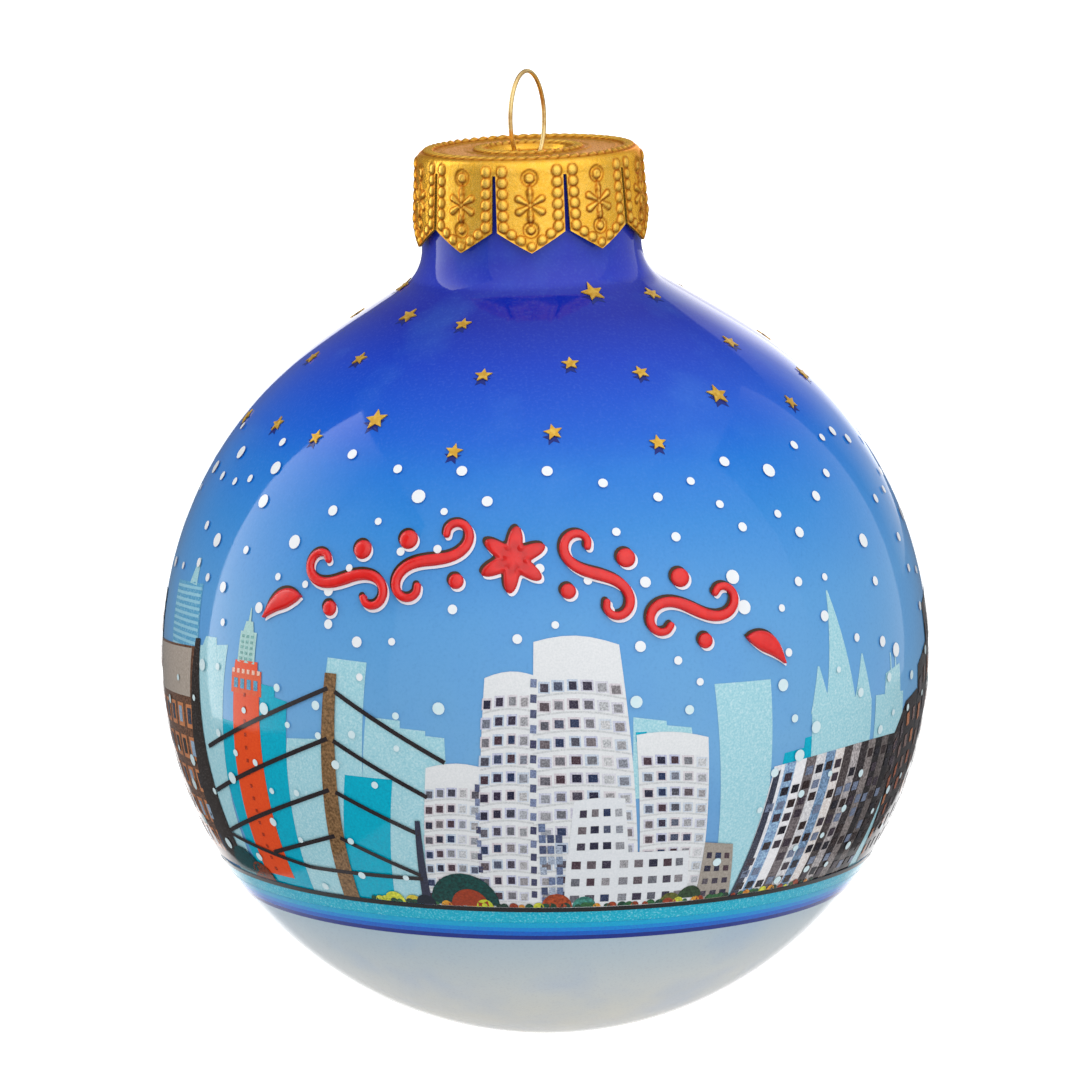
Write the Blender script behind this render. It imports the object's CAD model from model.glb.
"""A printed glass Christmas bauble with a stamped gold cap and a wire hanger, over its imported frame."""

import logging
import math
import random
from dataclasses import dataclass
from enum import Enum
from typing import Any, Callable, Optional, Sequence

import bpy
import numpy as np
from mathutils import Matrix, Vector


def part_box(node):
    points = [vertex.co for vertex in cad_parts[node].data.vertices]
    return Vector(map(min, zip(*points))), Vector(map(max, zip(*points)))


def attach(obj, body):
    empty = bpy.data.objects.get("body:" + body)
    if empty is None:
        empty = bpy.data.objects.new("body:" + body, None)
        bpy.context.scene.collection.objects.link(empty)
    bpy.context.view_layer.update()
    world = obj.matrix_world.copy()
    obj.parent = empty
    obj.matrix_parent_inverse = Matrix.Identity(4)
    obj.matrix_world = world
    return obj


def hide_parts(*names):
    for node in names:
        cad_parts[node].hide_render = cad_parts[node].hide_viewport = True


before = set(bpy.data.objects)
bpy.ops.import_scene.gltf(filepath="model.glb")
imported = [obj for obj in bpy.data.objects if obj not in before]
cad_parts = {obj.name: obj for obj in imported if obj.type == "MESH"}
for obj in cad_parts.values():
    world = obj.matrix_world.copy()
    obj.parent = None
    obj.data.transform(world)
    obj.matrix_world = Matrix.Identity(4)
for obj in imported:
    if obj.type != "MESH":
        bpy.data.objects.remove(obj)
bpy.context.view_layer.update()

LOG = logging.getLogger("bauble")
MM = 0.001

Colour = tuple[float, float, float, float]
Spot = tuple[float, float]
Place = tuple[float, float, float]
Face = tuple[int, ...]
Piece = bpy.types.Object
Array = np.ndarray


def paint(red: int, green: int, blue: int) -> Colour:
    """The linear colour of a paint chip whose screen values run from 0 to 255."""
    linear = [((c / 255 + 0.055) / 1.055) ** 2.4 if c > 10 else c / 255 / 12.92 for c in (red, green, blue)]
    return (linear[0], linear[1], linear[2], 1.0)


def shade(colour: Colour, share: float) -> Colour:
    """The colour darkened or lightened by a factor."""
    return (colour[0] * share, colour[1] * share, colour[2] * share, 1.0)


# Shader tools.


class Signal:
    """A shader socket that adds a Math node for each sum made with it."""

    def __init__(self, shader: "Nodes", socket: bpy.types.NodeSocket) -> None:
        """Keep the socket and the shader that it belongs to."""
        self.shader = shader
        self.socket = socket

    def _math(self, operation: str, first: Any, second: Any, clamped: bool = False) -> "Signal":
        """Add one Math node.

        Args:
            operation: Blender's name for the sum.
            first: The left operand.
            second: The right operand.
            clamped: Keep the result between 0 and 1.

        Returns:
            The node's result.
        """
        settings = {"operation": operation, "use_clamp": clamped}
        return self.shader.node("ShaderNodeMath", settings, {0: first, 1: second}).result(0)

    def __add__(self, other: Any) -> "Signal":
        """This plus another value."""
        return self._math("ADD", self, other)

    def __radd__(self, other: Any) -> "Signal":
        """Another value plus this."""
        return self._math("ADD", other, self)

    def __sub__(self, other: Any) -> "Signal":
        """This less another value."""
        return self._math("SUBTRACT", self, other)

    def __rsub__(self, other: Any) -> "Signal":
        """Another value less this."""
        return self._math("SUBTRACT", other, self)

    def __mul__(self, other: Any) -> "Signal":
        """This times another value."""
        return self._math("MULTIPLY", self, other)

    def __rmul__(self, other: Any) -> "Signal":
        """Another value times this."""
        return self._math("MULTIPLY", other, self)

    def share(self) -> "Signal":
        """This, kept between 0 and 1."""
        return self._math("ADD", self, 0.0, clamped=True)


class Made:
    """A node that was added, and its results as signals."""

    def __init__(self, shader: "Nodes", node: bpy.types.Node) -> None:
        """Keep the node and its shader."""
        self.shader = shader
        self.node = node

    def result(self, key: Any) -> Signal:
        """The output of this name or number."""
        return Signal(self.shader, self.node.outputs[key])


class Nodes:
    """A node tree and the tools that add to it."""

    def __init__(self, tree: bpy.types.NodeTree) -> None:
        """Empty the tree and keep it."""
        self.tree = tree
        self.tree.nodes.clear()

    def node(
        self,
        kind: str,
        settings: Optional[dict[str, Any]] = None,
        inputs: Optional[dict[Any, Any]] = None,
    ) -> Made:
        """Add one node.

        Args:
            kind: The node's type.
            settings: Its own settings, set first; "stops" are a ramp's.
            inputs: A value or a signal for each socket named or numbered.

        Returns:
            The node.
        """
        node = self.tree.nodes.new(kind)
        for name, value in (settings or {}).items():
            if name == "stops":
                self._set_stops(node.color_ramp, value)
            else:
                setattr(node, name, value)
        for key, value in (inputs or {}).items():
            if isinstance(value, Signal):
                self.tree.links.new(value.socket, node.inputs[key])
            else:
                node.inputs[key].default_value = value
        return Made(self, node)

    @staticmethod
    def _set_stops(ramp: bpy.types.ColorRamp, stops: Sequence[tuple[float, Colour]]) -> None:
        """Give a ramp its stops, from the lowest position up.

        Args:
            ramp: The ramp.
            stops: A position and a colour for each stop.
        """
        while len(ramp.elements) < len(stops):
            ramp.elements.new(1.0)
        for element, (position, colour) in zip(ramp.elements, stops):
            element.position = position
            element.color = colour

    def ramp(self, share: Signal, stops: Sequence[tuple[float, Colour]]) -> Signal:
        """The colour of a ramp at this share of its length."""
        return self.node("ShaderNodeValToRGB", {"stops": stops}, {0: share}).result(0)


class Shader(Nodes):
    """A material with one Principled surface, and the tools that feed it."""

    def __init__(self, name: str) -> None:
        """Start an empty material of this name."""
        self.material = bpy.data.materials.new(name)
        self.material.use_nodes = True
        super().__init__(self.material.node_tree)
        self.surface = self.node("ShaderNodeBsdfPrincipled")
        self.node("ShaderNodeOutputMaterial", {}, {"Surface": self.surface.result("BSDF")})

    def place(self) -> Signal:
        """The point on the object, in metres."""
        return self.node("ShaderNodeTexCoord").result("Object")

    def height(self) -> Signal:
        """How high the point is on the object, in metres."""
        return self.node("ShaderNodeSeparateXYZ", {}, {0: self.place()}).result("Z")

    def noise(self, size: float, detail: float = 2.0, stretch: Optional[Spot] = None) -> Signal:
        """Cloudy noise.

        Args:
            size: How large its patches are, in metres.
            detail: How many finer layers it has.
            stretch: Sideways and upright factors that draw the patches out.

        Returns:
            The noise, from 0 to 1 about a half.
        """
        where = self.place()
        if stretch:
            factors = (1 / stretch[0], 1 / stretch[0], 1 / stretch[1])
            drawn = self.node("ShaderNodeVectorMath", {"operation": "MULTIPLY"}, {0: where, 1: factors})
            where = drawn.result(0)
        inputs = {"Vector": where, "Scale": 1 / size, "Detail": detail, "Roughness": 0.55}
        return self.node("ShaderNodeTexNoise", {}, inputs).result(0)

    def mark(self, name: str) -> Signal:
        """The number that the mesh holds under this name."""
        return self.node("ShaderNodeAttribute", {"attribute_name": name}).result("Fac")

    def tint(self, name: str) -> Signal:
        """The colour that the mesh holds under this name."""
        return self.node("ShaderNodeAttribute", {"attribute_name": name}).result("Color")

    def mix(self, share: Any, first: Any, second: Any, blend: str = "MIX") -> Signal:
        """Blend two colours.

        Args:
            share: How much of the second shows.
            first: The colour underneath.
            second: The colour over it.
            blend: Blender's name for the way of blending.

        Returns:
            The blended colour.
        """
        settings = {"data_type": "RGBA", "blend_type": blend}
        return self.node("ShaderNodeMix", settings, {0: share, 6: first, 7: second}).result(2)

    def grey(self, level: Signal) -> Signal:
        """The grey of this level."""
        return self.node("ShaderNodeCombineColor", {}, {0: level, 1: level, 2: level}).result(0)

    def bump(self, height: Signal, strength: float, depth: float) -> None:
        """Press a height into the surface's shading.

        Args:
            height: The height, from 0 to 1.
            strength: How much of it shows.
            depth: The height of 1, in metres.
        """
        inputs = {"Strength": strength, "Distance": depth, "Height": height}
        self.set("Normal", self.node("ShaderNodeBump", {}, inputs).result(0))

    def set(self, socket: str, value: Any) -> None:
        """Feed one of the surface's sockets with a value or a signal.

        Args:
            socket: The socket's name.
            value: What it is fed.
        """
        target = self.surface.node.inputs[socket]
        if isinstance(value, Signal):
            self.tree.links.new(value.socket, target)
        else:
            target.default_value = value


# Finishes.


WHITE = paint(240, 243, 245)
PLAIN = (1.0, 1.0, 1.0, 1.0)


class Finish:
    """The looks of one surface."""

    name: str

    def material(self) -> bpy.types.Material:
        """Make the material.

        Returns:
            The finished material.
        """
        shader = Shader(self.name)
        self.coat(shader)
        return shader.material

    def coat(self, shader: Shader) -> None:
        """Lay the finish on.

        Args:
            shader: The material's shader.
        """
        raise NotImplementedError


@dataclass(frozen=True)
class SkyPrint(Finish):
    """The wrap's own print: a night-blue neck, a paler horizon, and pearly snow under the band."""

    centre: float
    radius: float
    neck_top: float
    band: float
    name: str = "sky_print"

    def coat(self, shader: Shader) -> None:
        """Lay the finish on.

        Args:
            shader: The material's shader.
        """
        low = self.centre - self.radius
        span = self.neck_top - low
        stops = [(self._share(latitude, low, span), paint(*chip)) for latitude, chip in self._chips()]
        sky = shader.ramp((shader.height() - low) * (1 / span), stops)
        haze = ((shader.noise(0.011, 3.0) - 0.5) * 0.8).share()
        sky = shader.mix(haze, sky, paint(80, 148, 224))
        grain = shader.noise(0.00028, 2.0)
        sky = shader.mix(((grain - 0.52) * 0.2).share(), sky, paint(150, 190, 235))
        sky = shader.mix(((0.48 - grain) * 0.4).share(), sky, paint(8, 40, 130))
        shader.set("Base Color", sky)
        shader.set("Roughness", shader.noise(0.004) * 0.05 + 0.03)
        shader.set("Specular IOR Level", 0.27)
        shader.bump(shader.noise(0.006, 1.0), 0.25, 0.00012)

    def _share(self, latitude: float, low: float, span: float) -> float:
        """Where a latitude on the ball comes on the ramp."""
        return (self.centre + self.radius * math.sin(math.radians(latitude)) - low) / span

    def _chips(self) -> list[tuple[float, tuple[int, int, int]]]:
        """The print's colours from the bottom up, each at its latitude.

        Returns:
            Latitude and screen colour of each.
        """
        return [
            (-90.0, (226, 222, 202)),
            (-66.0, (220, 218, 202)),
            (-50.0, (208, 214, 212)),
            (self.band - 1.0, (166, 192, 208)),
            (self.band, (96, 150, 205)),
            (-6.0, (114, 172, 218)),
            (14.0, (92, 160, 218)),
            (27.0, (54, 138, 214)),
            (36.0, (26, 118, 212)),
            (42.0, (12, 96, 208)),
            (48.0, (4, 80, 202)),
            (56.0, (4, 60, 190)),
            (68.0, (12, 36, 162)),
            (80.0, (24, 42, 164)),
            (87.0, (44, 60, 186)),
        ]


@dataclass(frozen=True)
class PrintInk(Finish):
    """Glossy transfer ink in each patch's own colour, broken up by the print's fine dots.

    Attributes:
        name: The material's name.
        grain: How strongly the dots darken and lighten the ink.
        dot: How large the dots are, in metres.
        flecks: How much bare white shows between them.
    """

    name: str
    grain: float
    dot: float = 0.00024
    flecks: float = 0.0

    def coat(self, shader: Shader) -> None:
        """Lay the finish on.

        Args:
            shader: The material's shader.
        """
        dots = shader.noise(self.dot, 2.5)
        level = ((dots - 0.5) * 2.4 + 0.5).share()
        colour = shader.mix(self.grain, shader.tint("tint"), shader.grey(level), "OVERLAY")
        if self.flecks:
            colour = shader.mix(((dots - 0.53) * (8 * self.flecks)).share(), colour, WHITE)
        shader.set("Base Color", colour)
        shader.set("Roughness", shader.noise(0.004) * 0.06 + 0.04)
        shader.set("Specular IOR Level", 0.27)
        shader.bump(dots, 0.06, 0.00003)


@dataclass(frozen=True)
class StampedGold(Finish):
    """Thin gold-lacquered sheet: satin on its flats, bright on its beads and orange-brown in its creases."""

    name: str = "cap_gold"

    def coat(self, shader: Shader) -> None:
        """Lay the finish on.

        Args:
            shader: The material's shader.
        """
        patina = shader.noise(0.0016, 4.0)
        grain = shader.noise(0.00022, 2.0)
        gold = shader.mix(((patina - 0.4) * 1.6).share(), paint(248, 188, 62), paint(254, 206, 94))
        gold = shader.mix(((grain - 0.5) * 1.6).share(), gold, paint(255, 222, 128))
        crease = (shader.mark("crease") * (patina * 0.6 + 0.72)).share()
        gold = shader.mix(crease, gold, paint(170, 84, 4))
        gold = shader.mix((shader.mark("crown") * 0.6).share(), gold, paint(255, 216, 112))
        shader.set("Base Color", gold)
        shader.set("Metallic", 0.72)
        shader.set("Specular Tint", paint(250, 172, 60))
        shader.set("Roughness", crease * 0.14 + (grain * 0.14 + 0.20))
        shader.bump(shader.noise(0.00048, 3.0), 0.55, 0.00010)


@dataclass(frozen=True)
class BrassWire(Finish):
    """Drawn brass-coloured wire with darker bands where the lacquer has worn."""

    name: str = "hanger_brass"

    def coat(self, shader: Shader) -> None:
        """Lay the finish on.

        Args:
            shader: The material's shader.
        """
        worn = ((shader.noise(0.0022, 3.0) - 0.46) * 3.0).share()
        brass = shader.mix(worn, paint(226, 196, 132), paint(172, 116, 48))
        brass = shader.mix(((shader.noise(0.0003) - 0.5) * 2.0).share(), brass, paint(246, 228, 178))
        shader.set("Base Color", brass)
        shader.set("Metallic", 0.9)
        shader.set("Roughness", worn * 0.14 + 0.22)
        shader.bump(shader.noise(0.0004, 2.0, (1.0, 6.0)), 0.2, 0.00003)


@dataclass(frozen=True)
class RaisedEnamel(Finish):
    """Thick glossy red enamel with a slightly uneven skin."""

    name: str = "red_enamel"

    def coat(self, shader: Shader) -> None:
        """Lay the finish on.

        Args:
            shader: The material's shader.
        """
        cloud = shader.noise(0.0011, 3.0)
        red = shader.mix(((cloud - 0.42) * 2.2).share(), paint(220, 10, 6), paint(240, 26, 16))
        red = shader.mix((shader.mark("edge") * 0.6).share(), red, paint(170, 6, 4))
        shader.set("Base Color", red)
        shader.set("Roughness", cloud * 0.12 + 0.10)
        shader.set("Specular IOR Level", 0.6)
        shader.bump(shader.noise(0.00045, 3.0), 0.45, 0.00006)


@dataclass(frozen=True)
class StarFoil(Finish):
    """Hot-stamped gold foil with a faintly crinkled skin."""

    name: str = "gold_foil"

    def coat(self, shader: Shader) -> None:
        """Lay the finish on.

        Args:
            shader: The material's shader.
        """
        crinkle = shader.noise(0.0005, 3.0)
        gold = shader.mix(((crinkle - 0.42) * 2.6).share(), paint(208, 158, 46), paint(240, 204, 92))
        shader.set("Base Color", gold)
        shader.set("Metallic", 0.55)
        shader.set("Roughness", crinkle * 0.3 + 0.25)
        shader.bump(crinkle, 0.4, 0.00004)


@dataclass(frozen=True)
class BlownGlass(Finish):
    """Clear blown glass with a faint sea tint and soft ripples."""

    name: str = "blown_glass"

    def coat(self, shader: Shader) -> None:
        """Lay the finish on.

        Args:
            shader: The material's shader.
        """
        ripple = shader.noise(0.008, 2.0)
        shader.set("Base Color", shader.mix(ripple, paint(206, 226, 230), paint(232, 242, 244)))
        shader.set("Roughness", ripple * 0.03 + 0.02)
        shader.set("Transmission Weight", 0.85)
        shader.set("IOR", 1.5)
        shader.bump(ripple, 0.2, 0.0001)


@dataclass(frozen=True)
class StudioPaper(Finish):
    """White seamless paper, faintly mottled, that the background lights brighten behind the ball."""

    near: float
    far: float
    start: float = 0.30
    end: float = 0.46
    name: str = "studio_paper"

    def coat(self, shader: Shader) -> None:
        """Lay the finish on.

        Args:
            shader: The material's shader.
        """
        paper = shader.mix(shader.noise(0.05, 2.0), paint(212, 212, 212), paint(220, 220, 220))
        depth = shader.node("ShaderNodeSeparateXYZ", {}, {0: shader.place()}).result("Y")
        share = (depth - self.start) * (1 / (self.end - self.start))
        ends = [(0.0, shade(PLAIN, self.near)), (1.0, shade(PLAIN, self.far))]
        shader.set("Base Color", paper)
        shader.set("Roughness", 0.9)
        shader.set("Specular IOR Level", 0.1)
        shader.set("Emission Color", shader.ramp(share, ends))
        shader.set("Emission Strength", 1.0)


@dataclass(frozen=True)
class SoftboxCloth(Finish):
    """The lit cloth of a softbox, which fades from one end to the other."""

    name: str
    bright: float
    dim: float

    def coat(self, shader: Shader) -> None:
        """Lay the finish on.

        Args:
            shader: The material's shader.
        """
        across = shader.node("ShaderNodeTexCoord").result("UV")
        share = shader.node("ShaderNodeSeparateXYZ", {}, {0: across}).result("X")
        middle = self.dim + (self.bright - self.dim) * 0.22
        levels = ((0.0, self.dim), (0.55, middle), (1.0, self.bright))
        ends = [(place, shade(PLAIN, level)) for place, level in levels]
        shader.set("Base Color", (0.0, 0.0, 0.0, 1.0))
        shader.set("Roughness", 1.0)
        shader.set("Emission Color", shader.ramp(share, ends))
        shader.set("Emission Strength", 1.0)


# Mesh tools.


def stand(name: str, points: Sequence[Any], faces: Sequence[Face], smooth: bool = False) -> Piece:
    """Make a mesh object and stand it in the scene.

    Args:
        name: The object's name.
        points: Its points, in metres.
        faces: Its faces, as numbers into the points.
        smooth: Shade its faces smooth.

    Returns:
        The object.
    """
    mesh = bpy.data.meshes.new(name)
    mesh.from_pydata(points, [], faces)
    mesh.polygons.foreach_set("use_smooth", [smooth] * len(mesh.polygons))
    made = bpy.data.objects.new(name, mesh)
    bpy.context.scene.collection.objects.link(made)
    return made


class Skin:
    """A thin closed body between an outer and an inner surface that share their faces."""

    def __init__(self) -> None:
        """Start with no faces."""
        self.outer: list[Array] = []
        self.inner: list[Array] = []
        self.faces: list[Face] = []
        self.marks: dict[str, list[Array]] = {}
        self.count = 0

    def add(self, outer: Array, inner: Array, faces: Sequence[Face], **marks: Any) -> None:
        """Add one piece of the body.

        Args:
            outer: The outer points.
            inner: The point under each of them.
            faces: Numbers into outer, turning left when seen from outside.
            **marks: For each name, a number or colour for every point or for all.
        """
        self.outer.append(np.asarray(outer, float))
        self.inner.append(np.asarray(inner, float))
        self.faces.extend(tuple(i + self.count for i in face) for face in faces)
        for name, value in marks.items():
            value = np.asarray(value, float)
            if value.ndim == 0 or value.shape == (4,):
                value = np.broadcast_to(value, (len(outer), *value.shape))
            self.marks.setdefault(name, []).append(value)
        self.count += len(outer)

    def _rim(self) -> list[Face]:
        """The faces that join the two surfaces along their open edges.

        Returns:
            The faces.
        """
        seen: dict[tuple[int, int], int] = {}
        for face in self.faces:
            for first, second in zip(face, face[1:] + face[:1]):
                seen[(first, second)] = seen.get((first, second), 0) + 1
        under = self.count
        return [(b, a, a + under, b + under) for a, b in seen if (b, a) not in seen]

    def build(self, name: str, centre: Optional[Vector] = None, sharp: float = 40.0) -> Piece:
        """Make the mesh object.

        Args:
            name: The piece's name.
            centre: Where given, shading turns away from this point, as the ball's does.
            sharp: Otherwise, edges that turn by more degrees stay crisp.

        Returns:
            The object.
        """
        points = np.concatenate(self.outer + self.inner)
        flipped = [tuple(i + self.count for i in reversed(face)) for face in self.faces]
        made = stand(name, points.tolist(), self.faces + flipped + self._rim(), smooth=True)
        mesh = made.data
        for mark, values in self.marks.items():
            values = np.concatenate(values + values)
            coloured = values.ndim == 2
            layer = mesh.attributes.new(mark, "FLOAT_COLOR" if coloured else "FLOAT", "POINT")
            layer.data.foreach_set("color" if coloured else "value", values.astype(np.float32).ravel())
        if centre is None:
            mesh.set_sharp_from_angle(angle=math.radians(sharp))
        else:
            away = points - np.array(centre)
            away /= np.linalg.norm(away, axis=1, keepdims=True)
            away[self.count :] *= -1
            mesh.normals_split_custom_set_from_vertices(away.tolist())
        mesh.update()
        return made


def grid_faces(rows: int, columns: int, closed: bool = False) -> list[Face]:
    """The faces of a grid of points.

    Args:
        rows: How many rows of points, from the bottom up.
        columns: How many points in each row, from left to right.
        closed: Join the last column to the first.

    Returns:
        The faces, turning left when seen from outside.
    """
    faces = []
    for row in range(rows - 1):
        for column in range(columns if closed else columns - 1):
            after = (column + 1) % columns
            low, high = row * columns, (row + 1) * columns
            faces.append((low + column, low + after, high + after, high + column))
    return faces


def dress(piece: Piece, material: bpy.types.Material) -> Piece:
    """Give a piece its one material.

    Args:
        piece: The piece.
        material: The material.

    Returns:
        The piece.
    """
    piece.data.materials.clear()
    piece.data.materials.append(material)
    return piece


def report(piece: Piece) -> None:
    """Say what was made."""
    LOG.info("%s: %d faces", piece.name, len(piece.data.polygons))


def smooth_share(value: Array) -> Array:
    """An even rise from 0 to 1 with soft ends."""
    value = np.clip(value, 0.0, 1.0)
    return value * value * (3 - 2 * value)


# The ball.


@dataclass
class BallShape:
    """The outside of the printed ball: a straight neck, a fillet, a shoulder and a true sphere."""

    centre: Vector
    neck_top: float
    radius: float = 40.0 * MM
    neck_radius: float = 11.0 * MM
    neck_flare: float = 0.42 * MM
    neck_foot: float = 42.7 * MM
    fillet_radius: float = 4.6 * MM
    fillet_turn: float = 58.0
    shoulder_latitude: float = 54.0

    def outline(self) -> Array:
        """The wrap's profile from the rim of the neck down to the lowest point.

        Returns:
            Radius and height above the ball's centre, one row for each point.
        """
        rim = (self.neck_radius, self.neck_top - self.centre.z)
        foot = self.neck_radius + self.neck_flare
        neck = [np.add(rim, np.multiply((foot - rim[0], self.neck_foot - rim[1]), i / 6)) for i in range(6)]
        fillet = []
        for angle in np.radians(np.linspace(0, self.fillet_turn, 14)):
            out = foot + self.fillet_radius * (1 - math.cos(angle))
            fillet.append((out, self.neck_foot - self.fillet_radius * math.sin(angle)))
        last = self.radius * np.array(self._round(self.shoulder_latitude))
        slopes = map(math.radians, (self.fillet_turn, self.shoulder_latitude))
        leaving, arriving = (np.array((math.sin(slope), -math.cos(slope))) for slope in slopes)
        first = np.array(fillet[-1])
        handle = np.linalg.norm(last - first) / 3
        posts = (first, first + leaving * handle, last - arriving * handle, last)
        shoulder = []
        for share in np.linspace(0, 1, 13)[1:-1]:
            weights = ((1 - share) ** 3, 3 * share * (1 - share) ** 2, 3 * share**2 * (1 - share), share**3)
            shoulder.append(sum(weight * post for weight, post in zip(weights, posts)))
        latitudes = np.linspace(self.shoulder_latitude, -90, 98)
        sphere = [self.radius * np.array(self._round(latitude)) for latitude in latitudes]
        return np.array([*neck, *fillet, *shoulder, *sphere])

    @staticmethod
    def _round(latitude: float) -> Spot:
        """Radius and height on a unit sphere at a latitude."""
        return (math.cos(math.radians(latitude)), math.sin(math.radians(latitude)))

    def distance(self, latitude: Array) -> Array:
        """How far the surface is from the centre, towards each latitude in degrees.

        Args:
            latitude: The latitudes.

        Returns:
            The distances in metres.
        """
        radius, height = self.outline().T
        angles = np.degrees(np.arctan2(height, radius))
        return np.interp(latitude, angles[::-1], np.hypot(radius, height)[::-1])

    def points(self, azimuth: Array, latitude: Array, lift: float = 0.0) -> Array:
        """Points on the ball.

        Args:
            azimuth: Degrees round the axis from the front, growing to the right.
            latitude: Degrees above the level of the centre.
            lift: How far the points stand off the wrap.

        Returns:
            One row for each point.
        """
        east, north = np.radians(azimuth), np.radians(latitude)
        flat = np.cos(north)
        away = np.stack([flat * np.sin(east), -flat * np.cos(east), np.sin(north)], axis=-1)
        return np.array(self.centre) + away * (self.distance(np.asarray(latitude)) + lift)[..., None]

    def around(self, place: Place, across: Array, up: Array, lift: Array) -> Array:
        """Points laid out on the ball round a place of their own.

        Args:
            place: Azimuth, latitude and turn of the layout, in degrees.
            across: Metres to the right of the place, before the turn.
            up: Metres above it, before the turn.
            lift: Metres that each point stands off the wrap.

        Returns:
            One row for each point.
        """
        azimuth, latitude, turn = (math.radians(angle) for angle in place)
        flat = math.cos(latitude)
        out = np.array((flat * math.sin(azimuth), -flat * math.cos(azimuth), math.sin(latitude)))
        east = np.array((math.cos(azimuth), math.sin(azimuth), 0.0))
        north = np.cross(out, east)
        level = across * math.cos(turn) - up * math.sin(turn)
        climb = across * math.sin(turn) + up * math.cos(turn)
        away = out * self.radius + level[..., None] * east + climb[..., None] * north
        away /= np.linalg.norm(away, axis=-1, keepdims=True)
        where = self.distance(np.degrees(np.arcsin(away[..., 2]))) + lift
        return np.array(self.centre) + away * where[..., None]

    def spots(self, nodes: Sequence[str]) -> list[Spot]:
        """The azimuth and latitude of each of these nodes.

        Args:
            nodes: The nodes' names.

        Returns:
            One place for each, in degrees.
        """
        places = []
        for node in nodes:
            low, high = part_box(node)
            away = (low + high) / 2 - self.centre
            flat = math.hypot(away.x, away.y)
            places.append((math.degrees(math.atan2(away.x, -away.y)), math.degrees(math.atan2(away.z, flat))))
        return places

    def pressed(self, points: Array, east: float, north: float, lift: float, depth: float) -> Array:
        """Points pressed flat onto the ball and slid along it.

        Args:
            points: The points.
            east: Metres slid to the right.
            north: Metres slid upwards.
            lift: Where the flattened points start above the wrap.
            depth: What share of their own height they keep.

        Returns:
            The moved points.
        """
        away = points - np.array(self.centre)
        reach = np.linalg.norm(away, axis=1)
        latitude = np.arcsin(away[:, 2] / reach)
        azimuth = np.arctan2(away[:, 0], -away[:, 1])
        height = reach - self.distance(np.degrees(latitude))
        azimuth = azimuth + east / reach / np.cos(latitude)
        latitude = latitude + north / reach
        moved = self.points(np.degrees(azimuth), np.degrees(latitude), lift)
        out = moved - np.array(self.centre)
        out /= np.linalg.norm(out, axis=1, keepdims=True)
        return moved + out * (height * depth)[:, None]


@dataclass
class Ball:
    """The glass ball and the printed wrap round it."""

    shape: BallShape
    segments: int = 144
    wrap_thickness: float = 0.15 * MM
    gap: float = 0.10 * MM
    glass_wall: float = 0.90 * MM
    band_latitude: float = -32.5

    def build(self) -> list[Piece]:
        """Make both pieces.

        Returns:
            The wrap and the glass.
        """
        outline = self.shape.outline()
        skin = self.wrap_thickness + self.gap
        wrap = self._turned("printed_wrap_skin", outline, self._inset(outline, self.wrap_thickness))
        glass_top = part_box("glass_ball")[1].z - self.shape.centre.z
        glass = self._inset(outline, skin)
        glass[0, 1] = glass_top
        bore = self._inset(outline, skin + self.glass_wall)
        bore[0, 1] = glass_top
        shell = self._turned("blown_shell", glass, bore)
        sky = SkyPrint(self.shape.centre.z, self.shape.radius, self.shape.neck_top, self.band_latitude)
        dress(wrap, sky.material())
        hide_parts("printed_wrap")
        dress(shell, BlownGlass().material())
        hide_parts("glass_ball")
        return [wrap, shell]

    @staticmethod
    def _inset(outline: Array, depth: float) -> Array:
        """The outline moved inwards by a depth, with its first point left level.

        Args:
            outline: Radius and height of each point.
            depth: How far it moves.

        Returns:
            The moved outline.
        """
        along = np.gradient(outline, axis=0)
        along[0] = outline[1] - outline[0]
        along /= np.linalg.norm(along, axis=1, keepdims=True)
        inward = np.stack([along[:, 1], -along[:, 0]], axis=1)
        moved = outline + inward * depth
        moved[0, 1] = outline[0, 1]
        moved[-1] = (0.0, outline[-1, 1] + depth)
        return moved

    def _turned(self, name: str, outer: Array, inner: Array) -> Piece:
        """Turn two outlines round the axis into one hollow body.

        Args:
            name: The piece's name.
            outer: The outer outline, from the rim to the lowest point.
            inner: The inner outline, point for point.

        Returns:
            The object.
        """
        angles = np.linspace(0, math.tau, self.segments, endpoint=False)
        surfaces = []
        for outline in (outer, inner):
            radius, height = outline[:-1][::-1].T
            level = (np.outer(radius, np.sin(angles)), np.outer(radius, -np.cos(angles)))
            ring = np.stack([*level, np.repeat(height[:, None], self.segments, axis=1)], axis=-1)
            pole = np.array([[0.0, 0.0, outline[-1, 1]]])
            surfaces.append(np.concatenate([ring.reshape(-1, 3), pole]) + np.array(self.shape.centre))
        rows = len(outer) - 1
        faces = grid_faces(rows, self.segments, closed=True)
        pole = rows * self.segments
        faces += [(pole, (i + 1) % self.segments, i) for i in range(self.segments)]
        skin = Skin()
        skin.add(surfaces[0], surfaces[1], faces)
        return skin.build(name)


# The printed picture.


class Layer(Enum):
    """The order in which the inks lie on the wrap, lowest first."""

    TEAL_FAR = 1
    PALE = 2
    TEAL_NEAR = 3
    STONE = 4
    PLASTER = 5
    HALO = 6
    WINDOW = 7
    NEAR_WALL = 8
    NEAR_WINDOW = 9
    TREE = 10
    CABLE = 11
    SNOW = 12


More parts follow.
